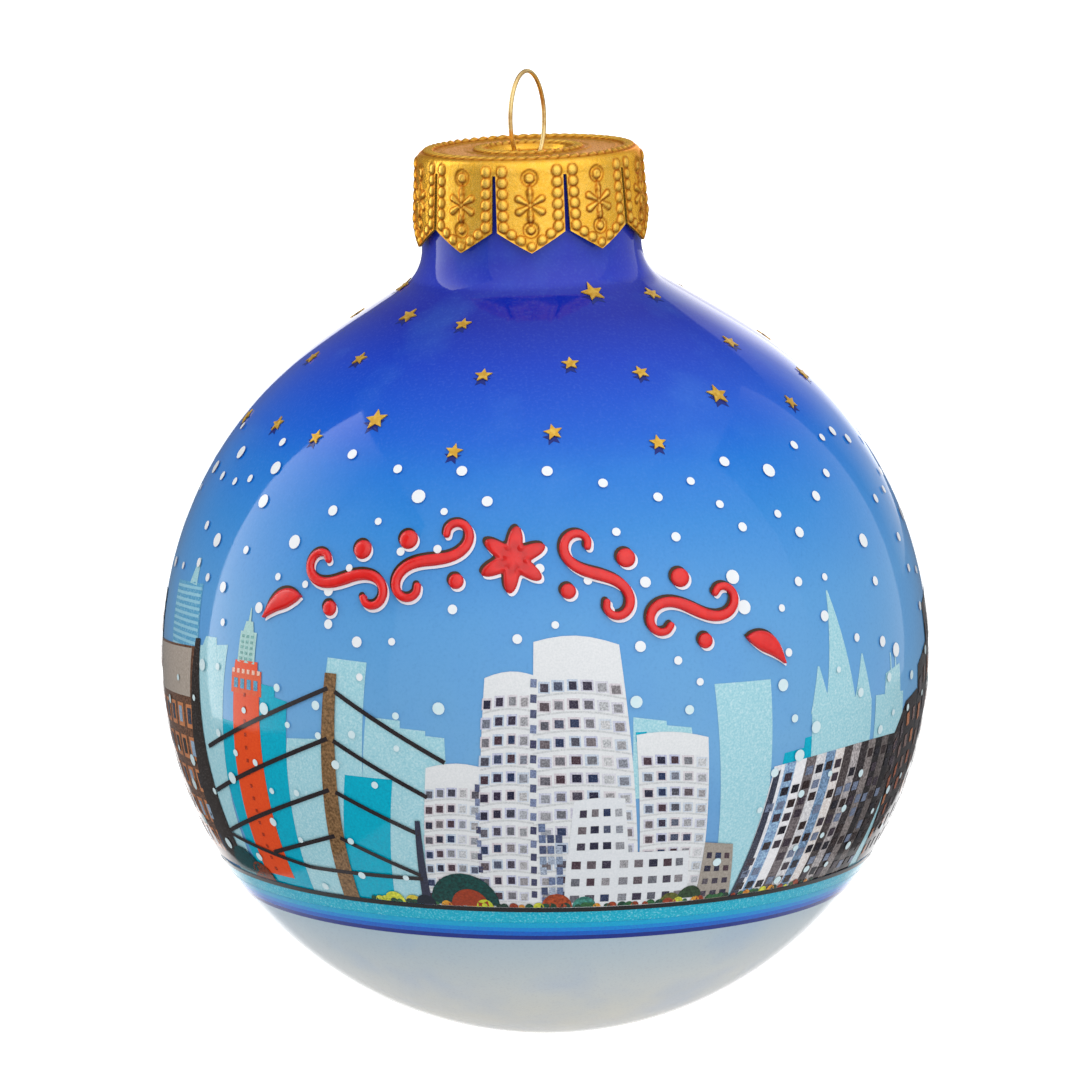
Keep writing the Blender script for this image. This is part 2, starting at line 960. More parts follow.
@dataclass(frozen=True)
class House:
    """One printed building: a four-sided patch given by its foot and its roof.

    Azimuths and latitudes are degrees on the print.
    """

    foot: Spot
    roof: Spot
    base: float
    tops: Spot

    def corner(self, across: float, up: float) -> Spot:
        """The print place at these shares of the width and the height.

        Args:
            across: The share of the width.
            up: The share of the height.

        Returns:
            Azimuth and latitude.
        """
        left, right = (
            (foot + (roof - foot) * up, self.base + (top - self.base) * up)
            for foot, roof, top in zip(self.foot, self.roof, self.tops)
        )
        return (left[0] + (right[0] - left[0]) * across, left[1] + (right[1] - left[1]) * across)

    def turned(self, turn: float) -> "House":
        """The same building, this many degrees further round the ball."""
        foot, roof = ((left + turn, right + turn) for left, right in (self.foot, self.roof))
        return House(foot, roof, self.base, self.tops)


@dataclass(frozen=True)
class Tower:
    """A white tower.

    Attributes:
        walls: Its front.
        tint: Its plaster's colour.
        rows: How many rows of windows it has.
        columns: The share of the width at the middle of each column of windows.
        fades: For each column, how pale its windows are.
        blank: The share of the height at which the windows end.
        bow: How far its roof and floors bow upwards, as a share of the height.
        near: It stands in front of the others.
    """

    walls: House
    tint: Colour
    rows: int
    columns: tuple[float, ...]
    fades: tuple[float, ...]
    blank: float
    bow: float
    near: bool = False


class Ink:
    """One printed colour separation: thin closed patches that follow the ball."""

    layer_step = 0.014 * MM
    thickness = 0.010 * MM
    patch_limit = 2.2
    tilt = 1.6

    def __init__(self, shape: BallShape, layer: Layer) -> None:
        """Start an empty ink on the ball, at its layer's height."""
        self.shape = shape
        self.lift = layer.value * self.layer_step
        self.skin = Skin()

    def _points(self, azimuth: Array, latitude: Array, lift: float) -> Array:
        """Points of the print, which sits on the ball with a slight tilt."""
        return self.shape.points(azimuth, latitude - self.tilt * np.sin(np.radians(azimuth)), lift)

    def patch(self, corners: Sequence[Spot], tint: Colour) -> None:
        """Print a four-sided patch.

        Args:
            corners: Its lower left, lower right, upper right and upper left places.
            tint: Its colour.
        """
        c = np.array(corners, float)
        wide = max(abs(c[1, 0] - c[0, 0]), abs(c[2, 0] - c[3, 0]))
        high = max(abs(c[3, 1] - c[0, 1]), abs(c[2, 1] - c[1, 1]), abs(c[3, 0] - c[0, 0]))
        columns = int(wide / self.patch_limit) + 2
        rows = int(high / self.patch_limit) + 2
        u, v = np.meshgrid(np.linspace(0, 1, columns), np.linspace(0, 1, rows))
        u, v = u.ravel()[:, None], v.ravel()[:, None]
        spots = (c[0] * (1 - u) + c[1] * u) * (1 - v) + (c[3] * (1 - u) + c[2] * u) * v
        self._lay(spots, grid_faces(rows, columns), tint)

    def _lay(self, spots: Array, faces: Sequence[Face], tint: Colour) -> None:
        """Lay a flat figure of print places on the ball.

        Args:
            spots: Its places.
            faces: Its faces.
            tint: Its colour.
        """
        top = self._points(spots[:, 0], spots[:, 1], self.lift)
        under = self._points(spots[:, 0], spots[:, 1], self.lift - self.thickness)
        self.skin.add(top, under, faces, tint=tint)

    def house(self, house: House, tint: Colour) -> None:
        """Print a plain building."""
        self.opening(house, (0, 1), (0, 1), tint)

    def opening(self, house: House, across: Spot, up: Spot, tint: Colour) -> None:
        """Print a window on a building, between these shares of its width and height."""
        spots = ((across[0], up[0]), (across[1], up[0]), (across[1], up[1]), (across[0], up[1]))
        self.patch([house.corner(*spot) for spot in spots], tint)

    def line(self, start: Spot, end: Spot, width: float, tint: Colour) -> None:
        """Print a straight line of this width, in degrees.

        Args:
            start: Where it starts.
            end: Where it ends.
            width: Its width.
            tint: Its colour.
        """
        way = np.subtract(end, start)
        side = np.array((-way[1], way[0])) / np.linalg.norm(way) * width / 2
        first, last = np.array(start), np.array(end)
        if way[0] < 0:
            first, last, side = last, first, -side
        steps = int(abs(np.linalg.norm(way)) / self.patch_limit) + 2
        share = np.linspace(0, 1, steps)[:, None]
        middle = first + (last - first) * share
        self._lay(np.concatenate([middle - side, middle + side]), grid_faces(2, steps), tint)

    def dot(self, azimuth: float, latitude: float, radius: float, tint: Colour) -> None:
        """Print a round dot of this radius, in degrees of arc."""
        self._fan((azimuth, latitude), (radius, radius), np.linspace(0, math.tau, 15), tint)

    def mound(self, azimuth: float, latitude: float, radius: float, tint: Colour) -> None:
        """Print a half-round bush that stands at this place."""
        self._fan((azimuth, latitude), (radius, 1.15 * radius), np.linspace(0, math.pi, 13), tint)

    def _fan(self, middle: Spot, radii: Spot, angles: Array, tint: Colour) -> None:
        """Print rings of patches round a middle, out to these sideways and upward radii.

        Args:
            middle: The middle.
            radii: The two radii.
            angles: The angles that it covers.
            tint: Its colour.
        """
        rings = int(radii[0] / 1.8) + 1
        squeeze = 1 / math.cos(math.radians(middle[1]))
        share = np.repeat(np.linspace(1, 0, rings + 1)[:-1], len(angles))
        turned = np.tile(angles, rings)
        azimuth = middle[0] + radii[0] * squeeze * share * np.cos(turned)
        latitude = middle[1] + radii[1] * share * np.sin(turned)
        spots = np.vstack([np.stack([azimuth, latitude], axis=1), [middle]])
        last, centre = (rings - 1) * len(angles), len(spots) - 1
        slices = [(last + i, last + i + 1, centre) for i in range(len(angles) - 1)]
        self._lay(spots, grid_faces(rings, len(angles)) + slices, tint)

    def ring(self, low: float, high: float, tint: Colour, columns: int = 180) -> None:
        """Print a band right round the ball between two latitudes.

        Args:
            low: The lower latitude.
            high: The upper one.
            tint: Its colour.
            columns: How many steps it takes round the ball.
        """
        rows = int((high - low) / self.patch_limit) + 2
        azimuths = np.linspace(0, 360, columns, endpoint=False)
        azimuth, latitude = np.meshgrid(azimuths, np.linspace(low, high, rows))
        spots = np.stack([azimuth.ravel(), latitude.ravel()], axis=1)
        self._lay(spots, grid_faces(rows, columns, closed=True), tint)

    def build(self, name: str, finish: PrintInk) -> Piece:
        """Make the ink's piece.

        Args:
            name: The piece's name.
            finish: The ink's finish.

        Returns:
            The object.
        """
        piece = dress(self.skin.build(name, self.shape.centre), finish.material())
        return piece


class Picture:
    """The winter city printed round the ball, laid out for the front half and printed again at the back."""

    pale = paint(165, 214, 224)
    mint = paint(168, 208, 204)
    teal = paint(0, 172, 200)
    plaster = paint(227, 230, 231)
    ground = -30.2
    seed = 24
    flakes_wanted = 330
    most_tries = 20000
    flake_gap = 4.3
    star_gap = 3.4
    cable_width = 0.66
    soft_chips = ((176, 180, 214), (190, 186, 206), (204, 192, 200), (170, 190, 216))
    dark_chips = ((34, 34, 58), (52, 44, 64), (36, 50, 84), (70, 50, 60))

    def __init__(self, shape: BallShape, stars: Sequence[Spot]) -> None:
        """Keep the ball and the stars' places, and start the drawing's own random numbers."""
        self.shape = shape
        self.stars = list(stars)
        self.random = random.Random(self.seed)
        self.turn = 0.0
        self.inks: dict[Layer, Ink] = {layer: Ink(shape, layer) for layer in Layer}

    def build(self) -> list[Piece]:
        """Print every ink.

        Returns:
            The printed pieces.
        """
        for self.turn in (0.0, 180.0):
            for draw in (
                self._silhouettes, self._brick_tower, self._stone_houses, self._white_towers,
                self._office_row, self._bridge, self._trees,
            ):
                draw()
        self._water_band()
        self._snow()
        looks = {
            Layer.TEAL_FAR: ("far_teal_ink", 0.15, 0.00022, 0.0),
            Layer.PALE: ("pale_skyline_ink", 0.20, 0.00022, 0.15),
            Layer.TEAL_NEAR: ("near_teal_ink", 0.15, 0.00022, 0.0),
            Layer.STONE: ("stone_house_ink", 0.60, 0.00024, 0.03),
            Layer.PLASTER: ("plaster_tower_ink", 0.20, 0.00020, 0.0),
            Layer.HALO: ("window_edge_ink", 0.30, 0.00016, 0.06),
            Layer.WINDOW: ("window_ink", 0.45, 0.00016, 0.05),
            Layer.NEAR_WALL: ("near_wall_ink", 0.20, 0.00020, 0.0),
            Layer.NEAR_WINDOW: ("near_window_ink", 0.45, 0.00016, 0.05),
            Layer.TREE: ("tree_ink", 0.60, 0.00028, 0.0),
            Layer.CABLE: ("bridge_cable_ink", 0.30, 0.00022, 0.0),
            Layer.SNOW: ("snow_dot_ink", 0.12, 0.00060, 0.0),
        }
        return [
            self.inks[layer].build(name, PrintInk(name + "_finish", *look))
            for layer, (name, *look) in looks.items()
        ]

    def _draw(self, layer: Layer, house: House, tint: Colour) -> House:
        """Print one building, turned round the ball.

        Args:
            layer: The ink.
            house: The building at the front.
            tint: Its colour.

        Returns:
            The building where it was printed.
        """
        moved = house.turned(self.turn)
        self.inks[layer].house(moved, tint)
        return moved

    def _draw_all(self, layer: Layer, houses: Sequence[House], tint: Colour) -> None:
        """Print a row of buildings in one colour."""
        for house in houses:
            self._draw(layer, house, tint)

    def _silhouettes(self) -> None:
        """The flat pale and teal shapes of the far city."""
        low = self.ground
        pale = (
            House((-66.0, -59.0), (-62.2, -54.2), low, (5.8, 7.0)),
            House((-62.0, -57.0), (-60.6, -57.4), 5.0, (7.4, 7.6)),
            House((-46.5, -36.0), (-41.2, -33.0), low, (-5.0, -4.2)),
            House((-37.5, -30.0), (-33.4, -26.8), low, (7.6, 7.4)),
            House((-31.0, -23.0), (-27.0, -21.6), low, (-0.4, -0.6)),
            House((-25.0, -19.0), (-21.8, -17.8), low, (-1.7, -1.9)),
            House((-21.0, -15.0), (-18.0, -15.0), low, (-2.6, -2.8)),
            House((12.0, 18.0), (12.3, 17.2), -12.0, (0.2, -0.6)),
            House((17.0, 22.0), (17.0, 21.0), -12.0, (-1.2, -1.8)),
            House((27.2, 34.8), (24.8, 34.2), low, (4.2, 4.0)),
            House((42.6, 56.5), (41.8, 55.6), low, (-1.6, -1.6)),
            House((57.0, 68.5), (56.8, 66.0), low, (-1.4, -2.2)),
            House((59.4, 65.0), (59.8, 64.6), -3.0, (1.4, 2.2)),
        )
        self._draw_all(Layer.PALE, pale, self.pale)
        steeples = (
            ((41.6, 45.8), 43.4, -2.0, 4.8),
            ((44.6, 51.6), 47.4, -2.0, 15.4),
            ((51.0, 55.6), 53.4, -2.0, 5.3),
        )
        for (left, right), tip, base, top in steeples:
            house = House((left, right), (tip - 0.15, tip + 0.15), base, (top, top))
            self._draw(Layer.PALE, house, self.pale)
        for azimuth in (61.4, 63.0):
            mast = House((azimuth, azimuth + 0.4), (azimuth, azimuth + 0.3), 1.6, (4.2, 4.2))
            self._draw(Layer.PALE, mast, self.pale)
        teal_far = (
            House((-66.0, -60.5), (-64.0, -60.0), low, (-3.0, -3.5)),
            House((-57.5, -45.5), (-56.5, -42.5), low, (-4.0, -4.5)),
            House((36.0, 46.0), (36.8, 41.0), -12.0, (-7.2, -6.8)),
            House((40.0, 45.5), (40.6, 45.2), -12.0, (-5.4, -5.0)),
            House((66.0, 69.0), (67.0, 69.4), -16.0, (-9.0, -9.0)),
        )
        self._draw_all(Layer.TEAL_FAR, teal_far, self.teal)
        teal_near = (
            House((-50.5, -44.5), (-46.0, -43.2), low, (2.4, 2.2)),
            House((-46.5, -44.0), (-43.6, -40.8), low, (0.8, 0.4)),
            House((-35.6, -27.2), (-31.2, -23.4), low, (-9.4, -9.5)),
            House((12.6, 14.2), (12.6, 14.2), -3.4, (-2.0, -2.0)),
        )
        self._draw_all(Layer.TEAL_NEAR, teal_near, self.teal)
        louvred = House((-74.0, -62.4), (-75.4, -64.2), 2.0, (13.6, 14.6))
        hatched = self._draw(Layer.PALE, louvred, paint(92, 168, 208))
        for step in range(12):
            up = 0.04 + step / 12.5
            self.inks[Layer.TEAL_NEAR].opening(hatched, (0.02, 0.97), (up, up + 0.035), paint(150, 205, 226))
        lantern = House((-69.6, -66.6), (-68.0, -67.2), 14.0, (18.0, 18.0))
        self._draw(Layer.PALE, lantern, self.pale)

    def _brick_tower(self) -> None:
        """The slim brick tower with its copper top."""
        brick = paint(232, 80, 32)
        window = self.inks[Layer.WINDOW]
        shaft = House((-55.0, -47.6), (-52.2, -46.4), self.ground + 1.6, (2.2, 2.4))
        shaft = self._draw(Layer.PLASTER, shaft, brick)
        for step in range(15):
            up = 0.03 + step / 15.6
            window.opening(shaft, (0.42, 0.50), (up, up + 0.018), paint(168, 52, 24))
        gallery = House((-52.9, -46.0), (-52.7, -46.0), 0.4, (3.9, 4.1))
        gallery = self._draw(Layer.PLASTER, gallery, paint(226, 92, 46))
        for step in range(6):
            across = 0.02 + step * 0.17
            window.opening(gallery, (across, across + 0.09), (0.84, 1.02), paint(238, 196, 176))
        for step in range(4):
            across = 0.10 + step * 0.22
            window.opening(gallery, (across, across + 0.13), (0.22, 0.62), paint(70, 150, 186))
        self._draw(Layer.PLASTER, House((-52.2, -46.8), (-52.0, -46.9), 3.8, (5.2, 5.4)), brick)
        copper = House((-51.5, -47.6), (-51.2, -47.5), 5.0, (9.5, 9.6))
        copper = self._draw(Layer.PLASTER, copper, self.mint)
        for row in range(5):
            for column in range(3):
                spots = ((0.12 + 0.28 * column, 0.28 + 0.28 * column), (0.08 + 0.18 * row, 0.17 + 0.18 * row))
                window.opening(copper, *spots, paint(118, 172, 168))
        spire = (
            House((-50.7, -48.2), (-50.2, -48.6), 9.4, (11.0, 11.1)),
            House((-49.7, -49.1), (-49.5, -49.3), 10.9, (13.0, 13.0)),
        )
        self._draw_all(Layer.PLASTER, spire, self.mint)

    def _stone_houses(self) -> None:
        """The old stone house at the left and the dark houses at the right."""
        window, plaster = self.inks[Layer.WINDOW], self.inks[Layer.PLASTER]
        wall = House((-86.0, -66.0), (-84.0, -63.4), self.ground + 0.6, (3.4, 5.4))
        wall = self._draw(Layer.STONE, wall, paint(104, 68, 46))
        plaster.opening(wall, (0.0, 0.92), (0.78, 0.99), paint(176, 164, 152))
        panes = (paint(58, 66, 84), paint(40, 34, 36), paint(150, 176, 200))
        for row in range(5):
            for column in range(5):
                across, up = 0.06 + column * 0.19, 0.06 + row * 0.145
                pane = self.random.choice(panes)
                plaster.opening(wall, (across, across + 0.13), (up, up + 0.105), paint(206, 132, 84))
                window.opening(wall, (across + 0.03, across + 0.10), (up + 0.02, up + 0.09), pane)
        gable = House((-69.0, -61.4), (-63.8, -62.3), self.ground + 0.8, (6.6, 6.8))
        self._draw(Layer.WINDOW, gable, paint(40, 32, 28))
        dark = paint(34, 28, 30)
        panes = (paint(150, 84, 56), paint(116, 92, 86), paint(88, 78, 82), paint(176, 110, 72))
        wings = (
            (63.6, 67.5, -8.6, -4.0),
            (67.5, 73.0, -4.0, -3.0),
            (73.0, 79.0, 0.4, 3.0),
            (79.0, 96.0, 8.6, 10.8),
        )
        for left, right, first, last in wings:
            wing = House((left + 2.5, right + 2.5), (left, right), self.ground + 0.4, (first, last))
            wing = self._draw(Layer.STONE, wing, dark)
            stripes = max(2, int((right - left) / 2.2))
            for stripe in range(stripes):
                for row in range(7):
                    across, up = (stripe + 0.25) / stripes, 0.06 + row * 0.13
                    pane = self.random.choice(panes)
                    window.opening(wing, (across, across + 0.42 / stripes), (up, up + 0.075), pane)

    def _tower(self, tower: Tower) -> None:
        """Print a white tower: a curved roof, faint ledges and rows of soft-edged windows.

        Args:
            tower: The tower at the front.
        """
        walls = tower.walls.turned(self.turn)
        wall = self.inks[Layer.NEAR_WALL if tower.near else Layer.PLASTER]
        halo = self.inks[Layer.NEAR_WINDOW if tower.near else Layer.HALO]
        glass = self.inks[Layer.NEAR_WINDOW if tower.near else Layer.WINDOW]
        strips = 6
        shares = [i / strips for i in range(strips + 1)]
        arch = [tower.bow * math.sin(math.pi * (0.12 + 0.76 * share)) for share in shares]
        for i in range(strips):
            first, last = shares[i], shares[i + 1]
            corners = ((first, 0), (last, 0), (last, 1 + arch[i + 1]), (first, 1 + arch[i]))
            wall.patch([walls.corner(*corner) for corner in corners], tower.tint)
        pitch = tower.blank / tower.rows
        ledge = tuple(0.82 * part for part in tower.tint[:3]) + (1.0,)
        width = 0.27 / len(tower.columns)
        for row in range(tower.rows):
            level = pitch * (row + 0.30)
            if not tower.near:
                for i in range(strips):
                    first, last = shares[i], shares[i + 1]
                    low = [level - 0.22 * pitch + arch[end] * 0.7 for end in (i, i + 1)]
                    high = [end + 0.10 * pitch for end in low]
                    corners = ((first, low[0]), (last, low[1]), (last, high[1]), (first, high[0]))
                    halo.patch([walls.corner(*corner) for corner in corners], ledge)
            for across, pale in zip(tower.columns, tower.fades):
                keep = 1 - min(0.85, max(0.0, 0.8 * pale + self.random.uniform(-0.3, 0.16)))
                bowed = level + 0.7 * tower.bow * math.sin(math.pi * (0.12 + 0.76 * across))
                half = width * (0.9 + 0.2 * self.random.random())
                soft = self.random.choice(self.soft_chips)
                if not tower.near:
                    edge = self._blend(tower.tint, paint(*soft), 0.2 + 0.5 * keep)
                    sides = (across - half * 1.5, across + half * 1.4)
                    halo.opening(walls, sides, (bowed - 0.06 * pitch, bowed + 0.55 * pitch), edge)
                dark = self.random.choice(self.dark_chips)
                tint = self._blend(tower.tint, paint(*dark), keep)
                glass.opening(walls, (across - half, across + half), (bowed, bowed + 0.44 * pitch), tint)

    @staticmethod
    def _blend(first: Colour, second: Colour, share: float) -> Colour:
        """A colour this share of the way from the first to the second."""
        return tuple(a + (b - a) * share for a, b in zip(first, second))

    def _white_towers(self) -> None:
        """The group of white plastered towers with curved fronts."""
        low, white, grey = self.ground, self.plaster, paint(224, 228, 231)
        towers = (
            (House((-3.2, 14.0), (-1.7, 10.8), low, (10.6, 10.0)), white, 13,
             (0.12, 0.27, 0.43, 0.59, 0.75, 0.90), (0.30, 0.10, 0.0, 0.10, 0.80, 0.50), 0.87, 0.045),
            (House((-11.8, -3.1), (-8.9, -1.6), low, (5.6, 6.0)), white, 12,
             (0.08, 0.32, 0.57, 0.80), (0.10, 0.0, 0.20, 0.60), 0.93, 0.035),
            (House((-21.0, -11.4), (-18.1, -9.1), low, (-7.8, -7.6)), white, 8,
             (0.08, 0.26, 0.45, 0.64, 0.84), (0.0, 0.05, 0.25, 0.70, 0.45), 0.87, 0.055),
            (House((14.0, 24.6), (12.7, 23.6), low, (-2.8, -3.8)), white, 10,
             (0.13, 0.32, 0.51, 0.70, 0.90), (0.05, 0.0, 0.15, 0.40, 0.75), 0.90, 0.04),
            (House((2.4, 11.8), (3.4, 11.0), -21.0, (-12.2, -12.0)), grey, 3,
             (0.2, 0.42, 0.64, 0.86), (0.0, 0.1, 0.0, 0.6), 0.9, 0.06, True),
            (House((1.6, 22.6), (2.2, 21.6), low, (-20.6, -21.0)), grey, 3,
             (0.08, 0.2, 0.32, 0.46, 0.58, 0.70, 0.82, 0.92), (0.2, 0.0, 0.2, 0.6, 0.0, 0.1, 0.0, 0.3),
             0.95, 0.03, True),
            (House((24.2, 30.8), (24.2, 29.2), low, (-19.8, -20.6)), paint(160, 152, 142), 4,
             (0.2, 0.5, 0.8), (0.2, 0.0, 0.0), 0.9, 0.0, True),
        )
        for tower in towers:
            self._tower(Tower(*tower))
        glass = self.inks[Layer.WINDOW]
        for row in range(16):
            latitude = low + 2.0 + row * 2.2
            lean = (latitude - low) / 40
            shadow = paint(*self.random.choice(((84, 90, 120), (120, 132, 164), (64, 66, 96))))
            foot = -3.2 + 1.5 * lean + self.turn
            glass.line((foot, latitude), (-3.1 + 1.5 * lean + self.turn, latitude + 1.2), 0.9, shadow)
            if row < 9:
                foot = -11.6 + 2.0 * lean + self.turn
                glass.line((foot, latitude), (-11.5 + 2.0 * lean + self.turn, latitude + 1.1), 0.7, shadow)
        gap = self.inks[Layer.NEAR_WINDOW]
        chips = ((96, 112, 146), (132, 148, 172), (66, 76, 108), (160, 172, 190))
        for row in range(8):
            for column in range(3):
                if self.random.random() < 0.75:
                    azimuth = -1.4 + column * 1.25 + self.turn
                    latitude = low + 0.8 + row * 1.8
                    chip = self.random.choice(chips)
                    gap.line((azimuth, latitude), (azimuth, latitude + 1.3), 1.0, paint(*chip))

    def _office_row(self) -> None:
        """The long office front with leaning upright strips."""
        strips = 15
        chips = (
            (228, 230, 234), (140, 172, 204), (238, 238, 240), (112, 104, 106), (216, 216, 218),
            (116, 146, 178), (226, 220, 216), (74, 66, 66), (170, 164, 164), (52, 46, 48),
            (128, 120, 118), (36, 32, 34), (96, 88, 86), (28, 24, 26), (60, 54, 54),
        )
        panes = (paint(30, 28, 38), paint(60, 50, 60), paint(110, 122, 146), paint(48, 36, 36))
        left, right = 35.0, 66.0
        for strip, chip in enumerate(chips):
            across = [left + (right - left) * edge / strips for edge in (strip, strip + 1)]
            foot = tuple(31.2 + (place - left) * 1.02 for place in across)
            bows = [math.sin((place - left) / (right - left) * math.pi * 0.8) for place in across]
            tops = tuple(-9.0 + 1.1 * bow for bow in bows)
            panel = self._draw(Layer.STONE, House(foot, tuple(across), self.ground, tops), paint(*chip))
            for row in range(9):
                if self.random.random() < 0.62:
                    up = 0.05 + row * 0.103 + self.random.uniform(-0.01, 0.01)
                    pane = self.random.choice(panes)
                    self.inks[Layer.WINDOW].opening(panel, (0.18, 0.84), (up, up + 0.058), pane)
        corner = House((31.0, 32.6), (35.0, 36.2), self.ground, (-10.4, -9.6))
        self._draw(Layer.WINDOW, corner, paint(58, 62, 78))

    def _bridge(self) -> None:
        """The cable bridge: one pylon, its stays and the deck."""
        bronze, iron = paint(128, 98, 66), paint(44, 38, 40)
        self._draw(Layer.TREE, House((-37.2, -34.0), (-33.7, -31.7), self.ground, (5.4, 5.4)), bronze)
        stays = (
            (-33.2, 3.2, -60.6, -9.0),
            (-33.6, -4.2, -61.2, -15.9),
            (-34.3, -12.0, -61.2, -22.4),
            (-35.0, -19.4, -49.8, -24.2),
            (-32.0, 2.8, -15.1, -6.4),
            (-32.6, -4.4, -18.2, -11.8),
            (-33.2, -12.2, -20.2, -17.8),
            (-34.0, -19.6, -21.2, -24.8),
            (-61.6, -23.0, -42.0, -25.6),
            (-42.0, -25.6, -21.0, -25.4),
        )
        for near, high, far, low in stays:
            ends = ((near + self.turn, high), (far + self.turn, low))
            self.inks[Layer.CABLE].line(*ends, self.cable_width, iron)
        post = House((-22.0, -20.4), (-20.6, -19.8), self.ground, (-15.6, -15.6))
        self._draw(Layer.CABLE, post, paint(46, 50, 70))

    def _trees(self) -> None:
        """The round bushes and the low autumn planting along the quay."""
        tree = self.inks[Layer.TREE]
        bushes = (
            (Layer.TREE, -14.6, -29.8, 5.0, (0, 62, 58)),
            (Layer.TREE, -60.6, -29.6, 4.0, (0, 66, 70)),
            (Layer.TREE, -56.4, -30.0, 2.6, (112, 52, 30)),
            (Layer.CABLE, -13.8, -29.9, 2.7, (150, 54, 24)),
            (Layer.CABLE, -11.4, -30.0, 1.2, (190, 200, 50)),
            (Layer.CABLE, -21.4, -30.0, 1.5, (16, 30, 44)),
            (Layer.TREE, -27.0, -30.0, 1.6, (206, 210, 60)),
            (Layer.TREE, -23.6, -30.0, 1.3, (214, 196, 60)),
            (Layer.TREE, 0.5, -30.0, 2.2, (158, 66, 30)),
            (Layer.TREE, 5.0, -30.0, 1.7, (60, 132, 120)),
            (Layer.TREE, 19.6, -30.0, 1.6, (92, 96, 40)),
            (Layer.TREE, 23.0, -29.4, 1.9, (44, 66, 40)),
        )
        for layer, azimuth, latitude, radius, chip in bushes:
            self.inks[layer].mound(azimuth + self.turn, latitude, radius, paint(*chip))
        low = self.ground
        chips = ((196, 200, 60), (206, 140, 44), (44, 96, 54), (150, 60, 30), (24, 70, 50), (30, 60, 46))
        for step in range(64):
            azimuth = -31.0 + step * 1.28 + self.random.uniform(-0.4, 0.4)
            radius = self.random.uniform(0.35, 0.8)
            tree.mound(azimuth + self.turn, low + 0.2, radius, paint(*self.random.choice(chips)))

    def _water_band(self) -> None:
        """The quay line and the bands of water under it."""
        cable = self.inks[Layer.CABLE]
        cable.ring(-30.9, -30.1, paint(24, 26, 28))
        self.inks[Layer.PALE].ring(-33.2, -30.8, paint(10, 180, 208))
        bands = (
            (-34.2, -33.2, paint(0, 168, 214)),
            (-35.0, -34.2, paint(0, 138, 218)),
            (-35.9, -35.0, paint(0, 98, 202)),
            (-36.8, -35.9, paint(6, 40, 134)),
        )
        for low, high, tint in bands:
            self.inks[Layer.TEAL_NEAR].ring(low, high, tint)

    def _snow(self) -> None:
        """Scatter the snow so that no two flakes touch."""
        flakes: list[Spot] = []
        snow = self.inks[Layer.SNOW]
        lowest, highest = math.sin(math.radians(-29)), math.sin(math.radians(38))
        tries = 0
        while len(flakes) < self.flakes_wanted and tries < self.most_tries:
            tries += 1
            azimuth = self.random.uniform(-180.0, 180.0)
            latitude = math.degrees(math.asin(self.random.uniform(lowest, highest)))
            front = (azimuth + 90) % 180 - 90
            roofs = 12.5 if -3.0 < front < 12.5 else 8.0 if -10.0 < front < 0.0 else -1.0
            if -21.0 < front < 26.0 and latitude < roofs:
                continue
            flat = math.cos(math.radians(latitude))
            near = min((math.hypot((azimuth - a) * flat, latitude - b) for a, b in flakes), default=99.0)
            star = min(math.hypot((azimuth - a) * flat, latitude - b) for a, b in self.stars)
            if near < self.flake_gap or star < self.star_gap:
                continue
            flakes.append((azimuth, latitude))
            low = latitude < 4.0
            radius = self.random.choice((0.55, 0.62, 0.7, 0.8, 1.05)) * (0.86 if low else 1.0)
            tint = paint(214, 236, 240) if low else paint(238, 242, 244)
            snow.dot(azimuth, latitude, radius, tint)


# Stars and garland.


def printed_copy(
    shape: BallShape,
    pieces: Sequence[Piece],
    slide: Spot,
    lift: float,
    kept: float,
    tint: Colour,
    name: str,
    finish: PrintInk,
) -> Piece:
    """Print the flattened outline of raised pieces, slid to one side of them.

    Args:
        shape: The ball.
        pieces: The raised pieces.
        slide: Metres slid to the right and upwards.
        lift: Metres that the ink lies above the wrap.
        kept: The share of their own height that the pieces keep.
        tint: The ink's colour.
        name: The print's name.
        finish: The ink's finish.

    Returns:
        The printed piece.
    """
    points: list[list[float]] = []
    faces: list[Face] = []
    for piece in pieces:
        corners = np.array([vertex.co for vertex in piece.data.vertices])
        faces += [tuple(i + len(points) for i in face.vertices) for face in piece.data.polygons]
        points += shape.pressed(corners, *slide, lift, kept).tolist()
    print_piece = stand(name, points, faces)
    layer = print_piece.data.attributes.new("tint", "FLOAT_COLOR", "POINT")
    layer.data.foreach_set("color", np.tile(tint, len(points)).astype(np.float32))
    dress(print_piece, finish.material())
    return print_piece


@dataclass
class FoilStars:
    """The gold foil stars, and the navy shadows printed a little under them."""

    shape: BallShape
    nodes: Sequence[str]
    slide: Spot = (-0.12 * MM, -0.60 * MM)
    lift: float = 0.004 * MM
    navy: tuple[int, int, int] = (8, 34, 122)

    def build(self) -> list[Piece]:
        """Dress the stars and print their shadows.

        Returns:
            The shadows' piece.
        """
        foil = StarFoil().material()
        stars = [dress(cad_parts[name], foil) for name in self.nodes]
        look = (paint(*self.navy), "star_shadow_ink", PrintInk("star_shadow_finish", 0.08))
        return [printed_copy(self.shape, stars, self.slide, self.lift, 0.1, *look)]


class Kind(Enum):
    """The shapes that the garland is made of."""

    FLOWER = "flower"
    SCROLL = "scroll"
    MIRRORED = "mirrored"
    LEAF = "leaf"
    BUD = "bud"


@dataclass(frozen=True)
class Charm:
    """One raised piece of the garland.

    Attributes:
        node: The CAD node that it stands for.
        kind: Its shape.
        along: Degrees along the garland's arch from its middle.
        size: Its length or radius in millimetres; a leaf's sign says which way it points.
        across: Millimetres sideways from the arch.
        up: Millimetres above the arch.
    """

    node: str
    kind: Kind
    along: float
    size: float
    across: float = 0.0
    up: float = 0.0


